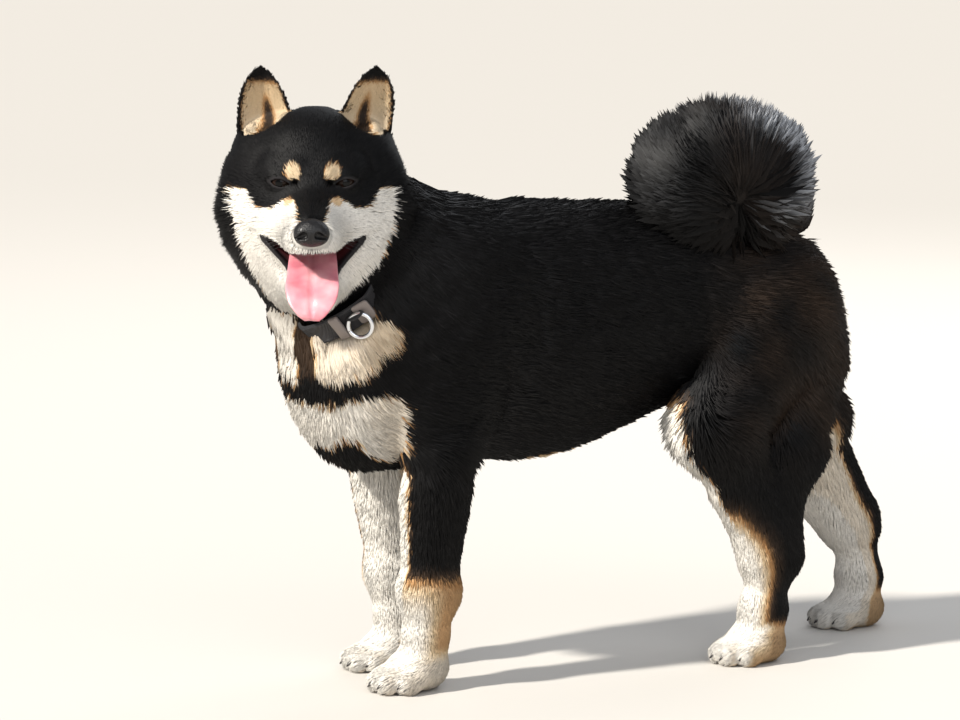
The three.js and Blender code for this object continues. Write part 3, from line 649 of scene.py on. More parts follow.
def ramp(amount):
    """Black through smoke, tan and cream to white."""
    stops = [(0, BLACK), (0.3, SMOKE), (0.52, TAN), (0.72, CREAM), (1, WHITE)]
    where = [s for s, _ in stops]
    return np.stack([np.interp(amount, where, [c[i] for _, c in stops]) for i in range(3)], 1).astype(F32)


def waves(p, seed, size, count=5):
    """Smooth noise between about -1 and 1, with swellings about this size across."""
    rng = np.random.default_rng(seed)
    total = np.zeros(len(p), F32)
    for _ in range(count):
        direction = unit(rng.normal(size=3)) * 2 * math.pi / (size * rng.uniform(0.7, 1.6))
        total += np.sin(p @ direction.astype(F32) + rng.uniform(0, 2 * math.pi)).astype(F32)
    return total / count * 1.5


def head_pale(q):
    """How pale the face is, from points in the head's frame."""
    x, y, z = np.abs(q[:, X]), q[:, Y], q[:, Z]
    top = -20 + 13 * smooth(46, 56, x) + 9 * smooth(36, 22, x) * smooth(46, 58, y)
    strip = np.clip(15.5 - 0.12 * (y - 60), 10.5, 16)
    bridge = np.maximum(x - strip, -37 - z)
    back = 15 + 7 * smooth(-80, -110, z) - 4 * smooth(-30, -60, z)
    edge = np.interp(z, [-115, -81, -63, -42, -17, 0], [27, 49, 58, 66, 71, 68])
    rim = np.minimum.reduce([y - back, z + 117, edge - x])
    amount = smooth(-0.8, 0.8, np.minimum(top - z, bridge)) * smooth(-0.3, 0.3, rim)
    tan = 6.5 - np.linalg.norm(np.stack([x, y, z * 1.2], 1) - vec([18, 63, -16]), axis=1)
    amount = np.where(tan > 0, np.minimum(np.maximum(amount, 0.5 * smooth(0, 3, tan)), 0.66), amount)
    brow = 6.6 - np.hypot(x - 16.2, (z - 10.2) * 0.95)
    brow = np.where(y > 25, brow, -9)
    return np.maximum(amount, 0.74 * smooth(-1.1, 1.0, brow))


def rounded(r, *edges):
    """How far points are inside a shape with rounded corners, from how far they are inside each edge."""
    short = np.sqrt(sum(np.maximum(r - e, 0) ** 2 for e in edges))
    return np.where(short > 0, r - short, np.minimum.reduce(edges) * np.ones(len(short)))


def chest_pale(p):
    """Pale patches across the breast, by the angle round it and the height; both sides are alike."""
    rough = 3.0 * waves(p, 21, 17) + 1.6 * waves(p, 22, 7)
    turn = np.abs(np.degrees(np.arctan2(-p[:, Y], 30 - p[:, X])))
    z = p[:, Z] + rough
    t = turn + 0.5 * rough
    strip = rounded(5, 9.5 - t, z - 262, 312 - z)
    patch = rounded(11, t - 19, 48 - t, z - 261 - 0.35 * (t - 20), 305 - z)
    # The smoky brown strip between the pale strip and the patch is partly the coat's own colour and partly
    # painted shade on the pale fur
    between = rounded(5, t - 6, 22 - t, z - 266, 300 - z)
    corner = rounded(9, t - 38, 57 - t, z - 286, 311 - z)
    top = 247 + 5 * smooth(24, 38, turn)
    foot = 206 - 14 * smooth(28, 38, turn)
    lower = rounded(12, 61 - t, top - z, z - foot)
    notch = rounded(6, t - 17, 31 - t, 213 - z)
    lower = np.minimum(lower, -notch)
    pale = np.maximum.reduce([strip, patch, corner, lower])
    most = np.where(lower > -2, 0.98, np.where(strip > -2, 0.98, 0.88))
    cream = smooth(34, 50, turn) * 0.08
    return np.maximum(smooth(-1.5, 1.5, pale) * (most - cream), 0.24 * smooth(-2, 3, between))


def fore_pale(p, n, leg):
    side, z = leg["side"], p[:, Z]
    front = n @ unit(vec([-0.75, -0.66 * side, 0]))
    inner = smooth(0.42, 0.66, front) * smooth(200, 176, z)
    low = smooth(108, 86, z)
    outer = 0.56 + 0.44 * smooth(0.25, -0.75, n[:, X]) * smooth(110, 60, z)
    outer = outer + (1 - outer) * smooth(40, 22, z) * 0.75
    return np.maximum(inner, low * outer)


def hind_pale(p, n, leg):
    side, z = leg["side"], p[:, Z]
    front = n @ unit(vec([-0.92, -0.38 * side, -0.05]))
    inner = smooth(0.46, 0.62, front + 0.14 * smooth(150, 90, z)) * smooth(240, 222, z)
    inside = smooth(0.35, 0.7, -n[:, Y] * side) * smooth(205, 180, z) * smooth(0.55, 0.2, n[:, X])
    shin = smooth(0.15, -0.75, n[:, X]) * smooth(150, 110, z)
    paw = smooth(44, 30, z) * (0.6 + 0.4 * smooth(0.4, -0.4, n[:, X]))
    return np.maximum(np.maximum(inner, inside * 0.9), np.maximum(shin, paw))


def paint(p, n):
    """The coat's colour at points of the skin, with their normals, and a painted sheen of sunlight on the
    black of the rump.
    """
    q = to_head(p)
    x, y, z = p.T
    near_head = np.linalg.norm(q, axis=1) < HEAD_PAINT["reach"]
    on_face = (neck_place(p) < HEAD_PAINT["neck"]) & near_head & (q[:, Z] > HEAD_PAINT["chin"])
    amount = np.where(on_face, head_pale(q), 0)
    on_chest = (x < 20) & (z < 330) & (z > 184) & ~on_face
    amount = np.where(on_chest, np.maximum(amount, chest_pale(p)), amount)
    for leg in FORE.values():
        here = (y * leg["side"] > 0) & (x < 110) & (z < 200)
        amount = np.where(here, np.maximum(amount, fore_pale(p, n, leg)), amount)
    for leg in HIND.values():
        here = (y * leg["side"] > 0) & (x > 200) & (z < 240)
        amount = np.where(here, np.maximum(amount, hind_pale(p, n, leg)), amount)
    belly = smooth(-0.88, -0.97, n[:, Z]) * smooth(26, 14, np.abs(y)) * (x > 120) * (z < 260) * (z > 120)
    amount = np.maximum(amount, 0.7 * belly)
    colour = ramp(amount)
    # Painted sheen: the sun's brownish glint on the black hair of the rump and thigh, added into the colour
    rump_sheen_mask = smooth(250, 330, x) * smooth(150, 230, z) * (amount < 0.05)
    painted_sheen = (0.5 + 0.5 * waves(p, 3, 26)) * rump_sheen_mask
    colour += painted_sheen[:, None] * (SMOKE - BLACK) * 0.5
    return colour


def paint_details(p, colour):
    """Ears, lips, the mouth's inside, lid rims and pads over the markings, on the skin itself."""
    q = mirrored(to_head(p))
    for side in (1, -1):
        d, s, u, depth = ear_leaf(p, side)
        here = (np.abs(d) < 3.5) & (s > -0.12)
        colour[here] = ear_colour(s[here], u[here], depth[here])
    near_head = np.linalg.norm(q, axis=1) < HEAD_PAINT["reach"]
    outer = outer_head(p)
    inward = -outer
    in_mouth = near_head & (mouth_gap(q) < 1.8) & (inward > 0.4) & (q[:, Y] > 26)
    share = smooth(3, 9, inward)[:, None]
    colour[in_mouth] = mix(GUM, MOUTH_RED, share)[in_mouth]
    colour[near_head & (lip_roll(p, outer) < 0.7)] = GUM
    for side in (1, -1):
        at = eye_frame(side)[0]
        rim = (np.linalg.norm(p - at, axis=1) < EYE["r"] + 3) & (eye_slit(p, side) < 2.2)
        colour[rim] = GUM
    colour[p[:, Z] < 1.5] = GUM
    return colour


def ear_colour(s, u, depth):
    """A black back and rim, pale hair inside and a dark middle."""
    inside = smooth(-2.4, -1.2, depth)
    rim = np.maximum(smooth(0.90, 0.80, np.abs(u)), smooth(0.5, 2.5, depth)) * smooth(0.90, 0.78, s)
    middle = smooth(0.42, 0.12, np.abs(u + 0.05) + 0.25 * np.clip(s, 0, 1)) * smooth(0.75, 0.45, s)
    amount = inside * rim * (0.78 - 0.10 * smooth(0.2, 0.8, s) - 0.62 * middle)
    return ramp(amount)


# How the hair lies

tail_points = vec([p for p, _ in TAIL])
tail_radii = vec([r for _, r in TAIL])


def tail_place(p):
    """The nearest place on the tail's line: its share along, its point and its tangent."""
    best = np.full(len(p), 1e9, F32)
    share = np.zeros(len(p), F32)
    foot = np.zeros_like(p)
    tangent = np.zeros_like(p)
    last = len(tail_points) - 1
    for i in range(last):
        a, b = tail_points[i], tail_points[i + 1]
        t = np.clip((p - a) @ (b - a) / ((b - a) @ (b - a)), 0, 1)
        at = mix(a, b, t[:, None])
        r = mix(tail_radii[i], tail_radii[i + 1], t)
        d = np.linalg.norm(p - at, axis=1) - r
        here = d < best
        best[here] = d[here]
        share[here] = (i + t[here]) / last
        foot[here] = at[here]
        one = tail_points[max(i - 1, 0)]
        two = tail_points[min(i + 2, last)]
        before, after = unit(b - one), unit(two - a)
        tangent[here] = unit(mix(before, after, t[here, None]))
    return share, foot, tangent


def ear_spot(p):
    """Shares of the nearer ear's length and width, the depth from its front, and if it is the right one."""
    right, left = ear_leaf(p, 1), ear_leaf(p, -1)
    is_right = np.abs(right[0]) < np.abs(left[0])
    return [np.where(is_right, right[i], left[i]) for i in (1, 2, 3)] + [is_right]


def ear_way(p):
    """Up the ear, along the lines that narrow with it towards its tip."""
    s, u, _, _ = ear_spot(p)
    side = np.sign(to_head(p)[:, X:Y])
    t = np.clip(s, 0, 0.95)
    k, r = EAR["taper"], EAR["roundness"]
    narrowing = -r * k * t ** (k - 1) * (1 - t ** k) ** (r - 1) * EAR["half_width"]
    c, w = cos_sin(EAR["outward"])
    across = np.concatenate([side * c, np.full_like(side, -w), np.zeros_like(side)], 1)
    rise = vec(EAR["tip"]) - vec(EAR["base"])
    along = np.concatenate([side * rise[X], np.full_like(side, rise[Y]), np.full_like(side, rise[Z])], 1)
    return (along + (np.clip(u, -1, 1) * narrowing)[:, None] * across) @ HEAD_R.T


def lie(p, n, zone):
    """The direction that hair points in, before it is laid along the skin with these normals."""
    q = to_head(p)
    z, x = p[:, Z:], p[:, X:Y]
    from_nose = unit(q - vec([0, 100, -26])) + vec([0, 0, -0.25]) * smooth(10, -30, q[:, Z:])
    head_way = from_nose @ HEAD_R.T
    down_neck = np.broadcast_to(unit(NECK_ALONG), p.shape)
    neck = smooth(15, 65, neck_place(p))[:, None]
    way = mix(head_way, down_neck, neck)
    chest = smooth(-30, -70, x)
    body = unit(vec([1, 0, -0.28])) * (1 - chest) + vec([0.15, 0, -1]) * chest
    thigh = smooth(270, 340, x) * smooth(330, 250, z)
    body = mix(body, vec([0.5, 0, -0.85]), thigh)
    facing = smooth(-0.25, -0.7, n[:, X:Y]) * smooth(60, 120, x)
    body = mix(body, vec([0.3, 0, -1]), facing)
    low = np.clip(smooth(225, 170, z) * (smooth(95, 60, x) + smooth(230, 270, x)), 0, 1)
    body = mix(body, vec([0.12, 0, -1]), low)
    body = body + vec([1.4, 0, 0]) * smooth(-0.35, -0.75, n[:, Z:]) * smooth(60, 110, z)
    toes = smooth(42, 26, z)
    body = mix(body, vec([-0.85, 0, -0.5]), toes)
    shoulders = smooth(95, 150, neck_place(p))[:, None]
    way = mix(way, body, shoulders)
    if zone == "tail":
        away = unit((p - TAIL_FAN) * vec([1, 0, 1]))
        clockwise = np.stack([away[:, Z], 0 * away[:, Z], -away[:, X]], 1)
        away = away + (0.2 + 0.35 * waves(p, 14, 46))[:, None] * clockwise
        swirl = tail_swirl(p)[:, None] * smooth(0.2, -0.4, n[:, Y:Z])
        away = mix(away, vec([1, 0, -0.3]), swirl)
        at_root = tail_root(p)[:, None]
        way = unit(mix(away, vec([0.05, -0.1, 0.9]), at_root))
    if zone == "ears":
        way = ear_way(p)
    return way


# How dark a tuft is at its root, as painted shade deep in the coat, how far along it is seen, and how large
# its patch is on the unwrap
ROOT_SHADE, SEEN_AT, PATCH = 0.6, 0.62, 0.003
# Where one coat piece ends and the next begins
HEAD_ZONE = dict(neck=58, reach=170, back=12)
NECK_END, FORELEG_TOP, FORELEG_REAR = 118, 202, 120
HINDLEG = dict(top=262, front=236, slope=0.4, level=200)
TAIL_FOOT = 358

# How far the tail's hair may reach, and how far it does at the root
BRUSH = dict(longest=62, at_root=19, half_width=0.27)
# A tuft's length and half width in a coat without depth, and what each millimetre of depth adds
HAIR = dict(length=4.5, longer=1.5, half_width=0.24, wider=0.013)
# Where a tuft bends and how high it is there, as shares, and how deep its root sits in the skin
TUFT = dict(bend=0.45, lift=0.8, sunk=0.8)
# The most height that a tuft has over the skin for its length, but for the tail's
STEEPEST = 0.62
# How much tufts differ in length and width
UNEVEN = dict(length=0.2, width=0.3)
# How far tufts turn from the lie of the hair, in radians: in swells, each with its seed and its size,
# and each tuft by itself
SWELLS, STRAY = [(0.16, 11, 32), (0.10, 12, 9)], 0.13

# The coat's pieces: how many tufts each has, at four triangles a tuft
TUFTS = {
    "face": 49000, "ears": 22000, "nape": 26000, "neck": 44000, "torso_left": 49000, "torso_right": 45000,
    "forelegs": 40000, "hindleg_left": 34000, "hindleg_right": 34000, "tail": 40000,
}


def tail_swirl(p):
    """1 where the hair of the tail's end lies to the rear, fading to 0 round it."""
    x, z = TAIL_SWIRL["at"]
    return smooth(TAIL_SWIRL["r"], TAIL_SWIRL["r"] * 0.5, np.hypot(p[:, X] - x, (p[:, Z] - z) * 1.3))


def tail_root(p):
    """1 on the tail's root, below and behind its curl."""
    return smooth(0.9, 1.1, np.linalg.norm((p - TAIL_MIDDLE) / TAIL_ROUND, axis=1))


def brush_reach(root, direction):
    """How far it is from points in the tail along a direction to the outside of its brush."""
    a, b = direction / TAIL_ROUND, (root - TAIL_MIDDLE) / TAIL_ROUND
    aa, ab, bb = (a * a).sum(1), (a * b).sum(1), (b * b).sum(1)
    return (np.sqrt(np.maximum(ab * ab - aa * (bb - 1), 0)) - ab) / aa


def zones_of(p):
    """The name of the coat piece that each point belongs to."""
    q = to_head(p)
    place = neck_place(p)
    zone = np.where(p[:, Y] < 0, "torso_left", "torso_right").astype(object)
    zone[place < NECK_END] = "neck"
    zone[(p[:, Z] < FORELEG_TOP) & (p[:, X] < FORELEG_REAR)] = "forelegs"
    front = HINDLEG["front"] + HINDLEG["slope"] * (p[:, Z] - HINDLEG["level"])
    hind = (p[:, Z] < HINDLEG["top"]) & (p[:, X] > front)
    zone[hind & (p[:, Y] < 0)] = "hindleg_left"
    zone[hind & (p[:, Y] >= 0)] = "hindleg_right"
    on_head = (place < HEAD_ZONE["neck"]) & (np.linalg.norm(q, axis=1) < HEAD_ZONE["reach"])
    behind = q[:, Y] <= HEAD_ZONE["back"]
    zone[on_head & behind] = "nape"
    zone[on_head & ~behind] = "face"
    for side in (1, -1):
        d, s, _, depth = ear_leaf(p, side)
        on_ear = (np.abs(d) < 2) & (s > -0.02)
        hollow = concha(p, side)
        by_foot = (hollow < 8) & (depth > -1) & behind
        zone[(on_ear | by_foot | (hollow < 1.5)) & on_head] = "ears"
    zone[(tail_part(p) < 3) & (p[:, Z] > TAIL_FOOT)] = "tail"
    return zone


def unwrap(p, zone):
    """Where points lie on an unwrap of the skin, each zone round its own middle line."""
    x, y, z = p.T
    if zone == "tail":
        share, foot, tangent = tail_place(p)
        out = unit(p - foot)
        side = unit(np.cross(tangent, vec([0, 1, 0])))
        turn = np.arctan2(out @ vec([0, 1, 0]), (out * side).sum(1))
        return np.stack([share, turn / (2 * math.pi) + 0.5], 1)
    if zone in ("face", "nape"):
        q = unit(to_head(p) - vec([0, -5, -15]))
        turn = np.arctan2(q[:, X], q[:, Y] if zone == "face" else -q[:, Y])
        return np.stack([turn / math.pi + 0.5, np.arcsin(q[:, Z]) / math.pi + 0.5], 1)
    if zone == "ears":
        s, u, depth, is_right = ear_spot(p)
        column = np.where(is_right, 0, 2) + (depth > EAR_INSIDE)
        return np.stack([(column + 0.5 + 0.45 * np.clip(u, -1, 1)) / 4, np.clip(s, 0, 1)], 1)
    if zone == "neck":
        side = unit(np.cross(NECK_ALONG, vec([0, 1, 0])))
        d = p - vec(COLLAR["middle"])
        turn = np.arctan2(d @ vec([0, 1, 0]), d @ side)
        return np.stack([turn / (2 * math.pi) + 0.5, (neck_place(p) + 20) / 220], 1)
    if zone.startswith("torso"):
        turn = np.arctan2(np.abs(y), z - 290)
        return np.stack([(x + 110) / 560, turn / math.pi], 1)
    if zone == "forelegs":
        column, columns = (y > 0) * 1.0, 2
        middle = np.interp(z, [0, 100, 210, 290], [20, 25, 25, 30])
    else:
        column, columns = 0, 1
        leg = HIND[zone.split("_")[1]]
        line = [leg[name][X] for name in ("paw", "pastern", "hock", "knee", "hip")]
        middle = np.interp(z, [0, 60, 100, 210, 290], line)
    turn = np.arctan2(y - 50 * np.sign(y), x - middle) / (2 * math.pi) + 0.5
    return np.stack([(column + turn) / columns, z / 280], 1)


def scatter(points, quads, weights, count, rng):
    """Places spread evenly over the quads by weight: a triangle's corners and the share of each."""
    tris = np.concatenate([quads[:, [0, 1, 2]], quads[:, [0, 2, 3]]])
    order = np.argsort(np.tile(np.arange(len(quads)), 2), kind="stable")
    tris = tris[order]
    a, b, c = (points[tris[:, i]] for i in range(3))
    area = np.linalg.norm(np.cross(b - a, c - a), axis=1) * np.repeat(weights, 2)
    total = np.cumsum(area)
    at = (np.arange(count) + rng.random(count)) / count * total[-1]
    pick = np.minimum(np.searchsorted(total, at), len(tris) - 1)
    r1, r2 = np.sqrt(rng.random(count)), rng.random(count)
    shares = np.stack([1 - r1, r1 * (1 - r2), r1 * r2], 1).astype(F32)
    return tris[pick], shares


def tuft_mesh(root, up, way, length, height, width):
    """Flat locks that rise off the skin and bend back: a root, two sides and a tip each."""
    side = np.cross(up, way)
    along, rise, half = way * length[:, None], up * height[:, None], side * width[:, None]
    middle = root + along * TUFT["bend"] + rise * TUFT["lift"]
    points = np.stack([root - up * TUFT["sunk"], middle + half, middle - half, root + along + rise], 1)
    normals = np.stack([up, up * 0.9 + side * 0.35, up * 0.9 - side * 0.35, up * 0.9 + way * 0.3], 1)
    start = (np.arange(len(root)) * 4)[:, None, None]
    faces = start + np.array([[0, 2, 1], [2, 3, 1], [0, 1, 3], [0, 3, 2]])
    return points.reshape(-1, 3), unit(normals.reshape(-1, 3)), faces.reshape(-1, 3)


# The collar's loop, found by reaching out from the middle of the neck
neck_axis = unit(NECK_ALONG)
to_throat = unit(vec([-1, 0, 0]) - neck_axis * (vec([-1, 0, 0]) @ neck_axis))
to_left = np.cross(to_throat, neck_axis)
collar_middle = vec(COLLAR["middle"])


def on_collar(turns):
    turns = np.atleast_1d(turns)
    way = (np.cos(turns)[:, None] * to_throat + np.sin(turns)[:, None] * to_left).astype(F32)
    near, far = np.zeros(len(turns), F32), np.full(len(turns), 160, F32)
    for _ in range(24):
        middle = (near + far) / 2
        inside = body_field(collar_middle + way * middle[:, None]) < -COLLAR["sunk"]
        near, far = np.where(inside, middle, near), np.where(inside, far, middle)
    return collar_middle + way * near[:, None]


def collar_place(p):
    """How far points are along the neck from the collar, and their angle round it."""
    d = p - collar_middle
    return d @ neck_axis, np.arctan2(d @ to_left, d @ to_throat)


def collar_room(p, length):
    """How long hair may be near the collar, so that the part of it at the throat stays in sight."""
    along, turn = collar_place(p)
    turn = np.degrees(turn) + 5 * waves(p, 41, 4)
    half = COLLAR["width"] / 2
    before = -half - along
    near = (turn > SHOWN[0]) & (turn < SHOWN[1]) & (along < half + 1) & (before < 45)
    room = np.where(before > 0, before * 0.9 + 8, 0)
    return np.where(near, np.minimum(length, room), length)


def hair_sizes(root, up, zone):
    """Length, height over the skin and half width of each tuft, and the way that it points."""
    depth = coat_depth(root)
    way = lie(root, up, zone)
    cheek = smooth(50, 70, np.abs(to_head(root)[:, X])) * (zone == "face")
    length, width = HAIR["length"] + HAIR["longer"] * depth, HAIR["half_width"] + HAIR["wider"] * depth
    height = depth * (1 - 0.2 * cheek)
    if zone == "tail":
        direction = unit(way + (0.5 + 0.3 * tail_root(root))[:, None] * up)
        reach = np.clip(brush_reach(root, direction), 0, BRUSH["longest"])
        reach = mix(reach, BRUSH["at_root"], tail_root(root))
        rise = (direction * up).sum(1)
        height = reach * rise
        length = reach * np.sqrt(1 - rise ** 2)
        width = np.full(len(root), BRUSH["half_width"], F32)
    if zone == "ears":
        s, u, leaf_depth, _ = ear_spot(root)
        inside, low = leaf_depth > EAR_INSIDE, smooth(0.35, -0.1, s)
        length = np.where(inside, 4 + 8 * low, 4) * (1 - 0.3 * smooth(0.7, 1, s))
        length = np.where(np.abs(u) > 0.82, 3, length)
        height = np.where(inside, 0.8 + 2 * low, 0.6)
        width = np.full(len(root), 0.2, F32)
    if zone == "face":
        q = mirrored(to_head(root))
        near_eye = smooth(20, 13, np.linalg.norm(q - vec(EYE["at"]), axis=1))
        near_lip = smooth(9, 4, mouth_gap(q)) * (q[:, Y] > 24)
        short = np.maximum(near_eye, near_lip)
        length, height = mix(length, 4.2, short), mix(height, 1.5, short)
    if zone in ("face", "nape"):
        ears = [np.minimum(ear_part(side)(root), concha(root, side)) for side in (1, -1)]
        by_ear = np.minimum(*ears)
        short = np.maximum(smooth(14, 3, by_ear), 0.4 * smooth(20, 40, to_head(root)[:, Z]))
        length, height = length * (1 - 0.6 * short), height * (1 - 0.65 * short)
    if zone in ("face", "nape", "neck", "torso_left", "torso_right"):
        length = collar_room(root, length)
    if zone != "tail":
        height = np.minimum(height, length * STEEPEST)
    return way, length, height, width


def bald(root, zone):
    """Where no hair grows: lips, mouth, nose, eyes and soles."""
    bare = root[:, Z] < 3
    if zone == "face":
        q = mirrored(to_head(root))
        bare |= (mouth_gap(q) < 1.2) & (q[:, Y] > 28)
        bare |= lip_roll(root, outer_head(root)) < 0.5
        bare |= nose_field(root) < 0.6
        for side in (1, -1):
            near = np.linalg.norm(root - eye_frame(side)[0], axis=1) < 15
            bare |= near & (eye_slit(root, side) < 2.4)
    return bare


def hair_colours(root, up, way, length, height, zone, rng):
    """The colours of each tuft's root, middle and tip."""
    count = len(root)
    jitter = rng.normal(0, 0.7, (count, 3)).astype(F32)
    spot = root + up * coat_depth(root)[:, None] + way * (length * SEEN_AT)[:, None] + jitter
    if zone == "ears":
        s, u, leaf_depth, _ = ear_spot(root)
        s = s + length / 90 + rng.normal(0, 0.015, count)
        colour = ear_colour(s, u + rng.normal(0, 0.03, count), leaf_depth)
    else:
        colour = paint(spot, up)
    tips = colour * rng.uniform(0.8, 1.2, count)[:, None]
    if zone == "tail":
        tip = root + up * height[:, None] + way * length[:, None]
        away = (tip - TAIL_MIDDLE) / TAIL_ROUND
        reach = np.hypot(away[:, X], away[:, Z])
        rear = 0.03 + 0.97 * smooth(-0.2, 0.5, away[:, X] / (reach + 0.01))
        rim = smooth(0.70, 0.98, reach) * rear * smooth(-0.7, -0.3, away[:, Z]) * (1 - 0.4 * tail_root(root))
        low = tail_swirl(tip) * smooth(0, -0.5, up[:, Y]) * 0.5 * (rng.random(count) < 0.35)
        silver = np.clip(rim * rng.uniform(0.15, 1.2, count) ** 1.2 + low, 0, 1)[:, None]
        tips = mix(colour, SILVER, silver)
        return colour * ROOT_SHADE, mix(colour, tips, 0.1), tips
    fleck = (rng.random(count) < 0.12) & (colour.max(1) < 0.05)
    tips[fleck] = tips[fleck] * 2 + 0.006
    return colour * ROOT_SHADE, colour, tips


def coat_piece(zone, index, skin_points, skin_quads, skin_normals, face_zones, skin_weights):
    rng = np.random.default_rng(100 + index)
    here = face_zones == zone
    count = TUFTS[zone] // 1
    corners, shares = scatter(skin_points, skin_quads[here], skin_weights[here], count, rng)
    root = (skin_points[corners] * shares[:, :, None]).sum(1)
    up = unit((skin_normals[corners] * shares[:, :, None]).sum(1))
    if zone == "tail":
        brush = unit((root - TAIL_MIDDLE) / TAIL_ROUND ** 2)
        up = unit(mix(brush, up, tail_root(root)[:, None]))
    way, length, height, width = hair_sizes(root, up, zone)
    keep = ~bald(root, zone) & (length > 1.5)
    kept = [a[keep].astype(F32) for a in (root, up, way, length, height, width)]
    root, up, way, length, height, width = kept
    count = len(root)
    way = unit(way - up * (way * up).sum(1)[:, None])
    side = np.cross(up, way)
    loose = 0.5 + 0.5 * smooth(6, 22, length)
    if zone == "tail":
        loose = loose + 2.5 * smooth(26, 6, np.linalg.norm((root - TAIL_FAN)[:, [X, Z]], axis=1))
    swirl = sum(most * waves(root, seed, size) for most, seed, size in SWELLS) + rng.normal(0, STRAY, count)
    swirl = (swirl * loose)[:, None]
    way = way * np.cos(swirl) + side * np.sin(swirl)
    thicker = 1
    length = length * rng.uniform(1 - UNEVEN["length"], 1 + UNEVEN["length"], count)
    if zone == "tail":
        longer = rng.uniform(0.86, 1.24, count) ** 1.5
        length = length * longer
        height = height * longer
    width = width * rng.uniform(1 - UNEVEN["width"], 1 + UNEVEN["width"], count) * thicker
    height = height * (1 + 0.1 * waves(root, 7, 15) + rng.normal(0, 0.07, count) * loose)
    bottom, middle, tips = hair_colours(root, up, way, length, height, zone, rng)
    points, normals, faces = tuft_mesh(root, up, way, length, height, width)
    if zone == "tail":
        disc = unit((points - TAIL_MIDDLE) / TAIL_ROUND ** 2)
        outside = np.repeat(tail_root(root), 4)[:, None]
        normals = unit(0.35 * normals + disc * (1 - outside) + normals * outside)
    points[:, Z] = np.maximum(points[:, Z], FLOOR_GAP)
    past = np.maximum(points[:, Y] - WIDEST["at"], 0)
    points[:, Y] -= WIDEST["drawn_in"] * past
    colours = np.stack([bottom, middle, middle, tips], 1).reshape(-1, 3)
    base = np.clip(unwrap(root, zone), 0.002, 0.995)
    patch = np.array([[0, 0], [0.5, 0.5], [-0.5, 0.5], [0, 1]]) * PATCH
    uvs = np.clip(base[:, None] + patch, 0, 1).reshape(-1, 2)
    return mesh_object("coat_" + zone, points, [faces], colours, uvs, normals)


# Materials

def shader(name, colour, roughness, **inputs):
    material = bpy.data.materials.new(name)
    material.use_nodes = True
    bsdf = material.node_tree.nodes["Principled BSDF"]
    bsdf.inputs["Base Color"].default_value = (*colour, 1)
    bsdf.inputs["Roughness"].default_value = roughness
    for key, value in inputs.items():
        bsdf.inputs[key.replace("_", " ")].default_value = value
    return material, bsdf


def node(material, kind, **settings):
    made = material.node_tree.nodes.new(kind)
    for key, value in settings.items():
        if hasattr(made, key):
            setattr(made, key, value)
        else:
            made.inputs[key.replace("_", " ")].default_value = value
    return made


def link(material, a, output, b, entry):
    material.node_tree.links.new(a.outputs[output], b.inputs[entry])


def texture(material, kind, **settings):
    """A procedural texture in the object's own coordinates."""
    made = node(material, "ShaderNodeTex" + kind, **settings)
    link(material, node(material, "ShaderNodeTexCoord"), "Object", made, "Vector")
    return made


def bumped(material, bsdf, grain, output, strength, distance):
    bump = node(material, "ShaderNodeBump", Strength=strength, Distance=distance)
    link(material, grain, output, bump, "Height")
    link(material, bump, "Normal", bsdf, "Normal")


def grained(name, colour, roughness, grain, strength, distance, output="Fac", **inputs):
    """A material with a grain pressed into it: a kind of texture and its settings."""
    material, bsdf = shader(name, colour, roughness, **inputs)
    bumped(material, bsdf, texture(material, grain[0], **grain[1]), output, strength, distance)
    return material, bsdf


def two_tones(material, bsdf, pattern, dark, light, low=0, high=1):
    """A base colour that goes from dark to light with a texture."""
    colours = node(material, "ShaderNodeValToRGB")
    for stop, place, colour in zip(colours.color_ramp.elements, (low, high), (dark, light)):
        stop.position = place
        stop.color = (*colour, 1)
    link(material, pattern, "Fac", colours, "Fac")
    link(material, colours, "Color", bsdf, "Base Color")


def coat_material(name, roughness, specular):
    """The colours of the mesh's points under a fine grain."""
    material, bsdf = shader(name, (0.02, 0.02, 0.02), roughness, Specular_IOR_Level=specular)
    colour = node(material, "ShaderNodeVertexColor", layer_name="Coat")
    grain = texture(material, "Noise", Scale=900.0, Detail=3.0)
    shaded = node(material, "ShaderNodeMix", data_type="RGBA", blend_type="MULTIPLY")
    shaded.inputs["Factor"].default_value = 0.25
    link(material, colour, "Color", shaded, "A")
    link(material, grain, "Fac", shaded, "B")
    link(material, shaded, "Result", bsdf, "Base Color")
    bumped(material, bsdf, grain, "Fac", 0.25, 0.0006)
    return material


def skin():
    coarse, mid, fine = ((3.3, 1.7, 1.1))
    xs = spaced((-176, -128, mid), (-128, -44, fine), (-44, 20, mid), (20, 520, coarse))
    ys = spaced((-128, -80, mid), (-80, -24, fine), (-24, 40, mid - 0.3), (40, 112, coarse))
    zs = spaced((-6, 300, coarse * 0.9), (300, 415, mid + 0.1), (415, 438, fine), (438, 524, mid))
    return surface(skin_field, [xs, ys, zs])


def make_coat():
    points, quads = skin()
    normals = corner_normals(points, quads)
    over = points + normals * coat_depth(points)[:, None]
    colours = paint_details(points, paint(over, normals) * 0.7)
    made = mesh_object("skin", points, [quads], colours)
    legs = [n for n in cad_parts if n.startswith(("foreleg", "forepaw", "hindleg", "hindpaw"))]
    flesh = ["head", "jaw", "ear_left", "ear_right", "neck", "torso", "tail", *legs]
    dress(made, coat_material("skin", 0.75, 0.3), "black_coat", *flesh)
    middle = points[quads].mean(1)
    face_zones = zones_of(middle)
    weights = 1 / (4 + coat_depth(middle)) ** 0.7
    fur = coat_material("fur", 0.55, 0.18)
    for index, zone in enumerate(TUFTS):
        piece = coat_piece(zone, index, points, quads, normals, face_zones, weights)
        dress(piece, fur, "cream_coat" if zone == "forelegs" else "black_coat")


# Swept pieces

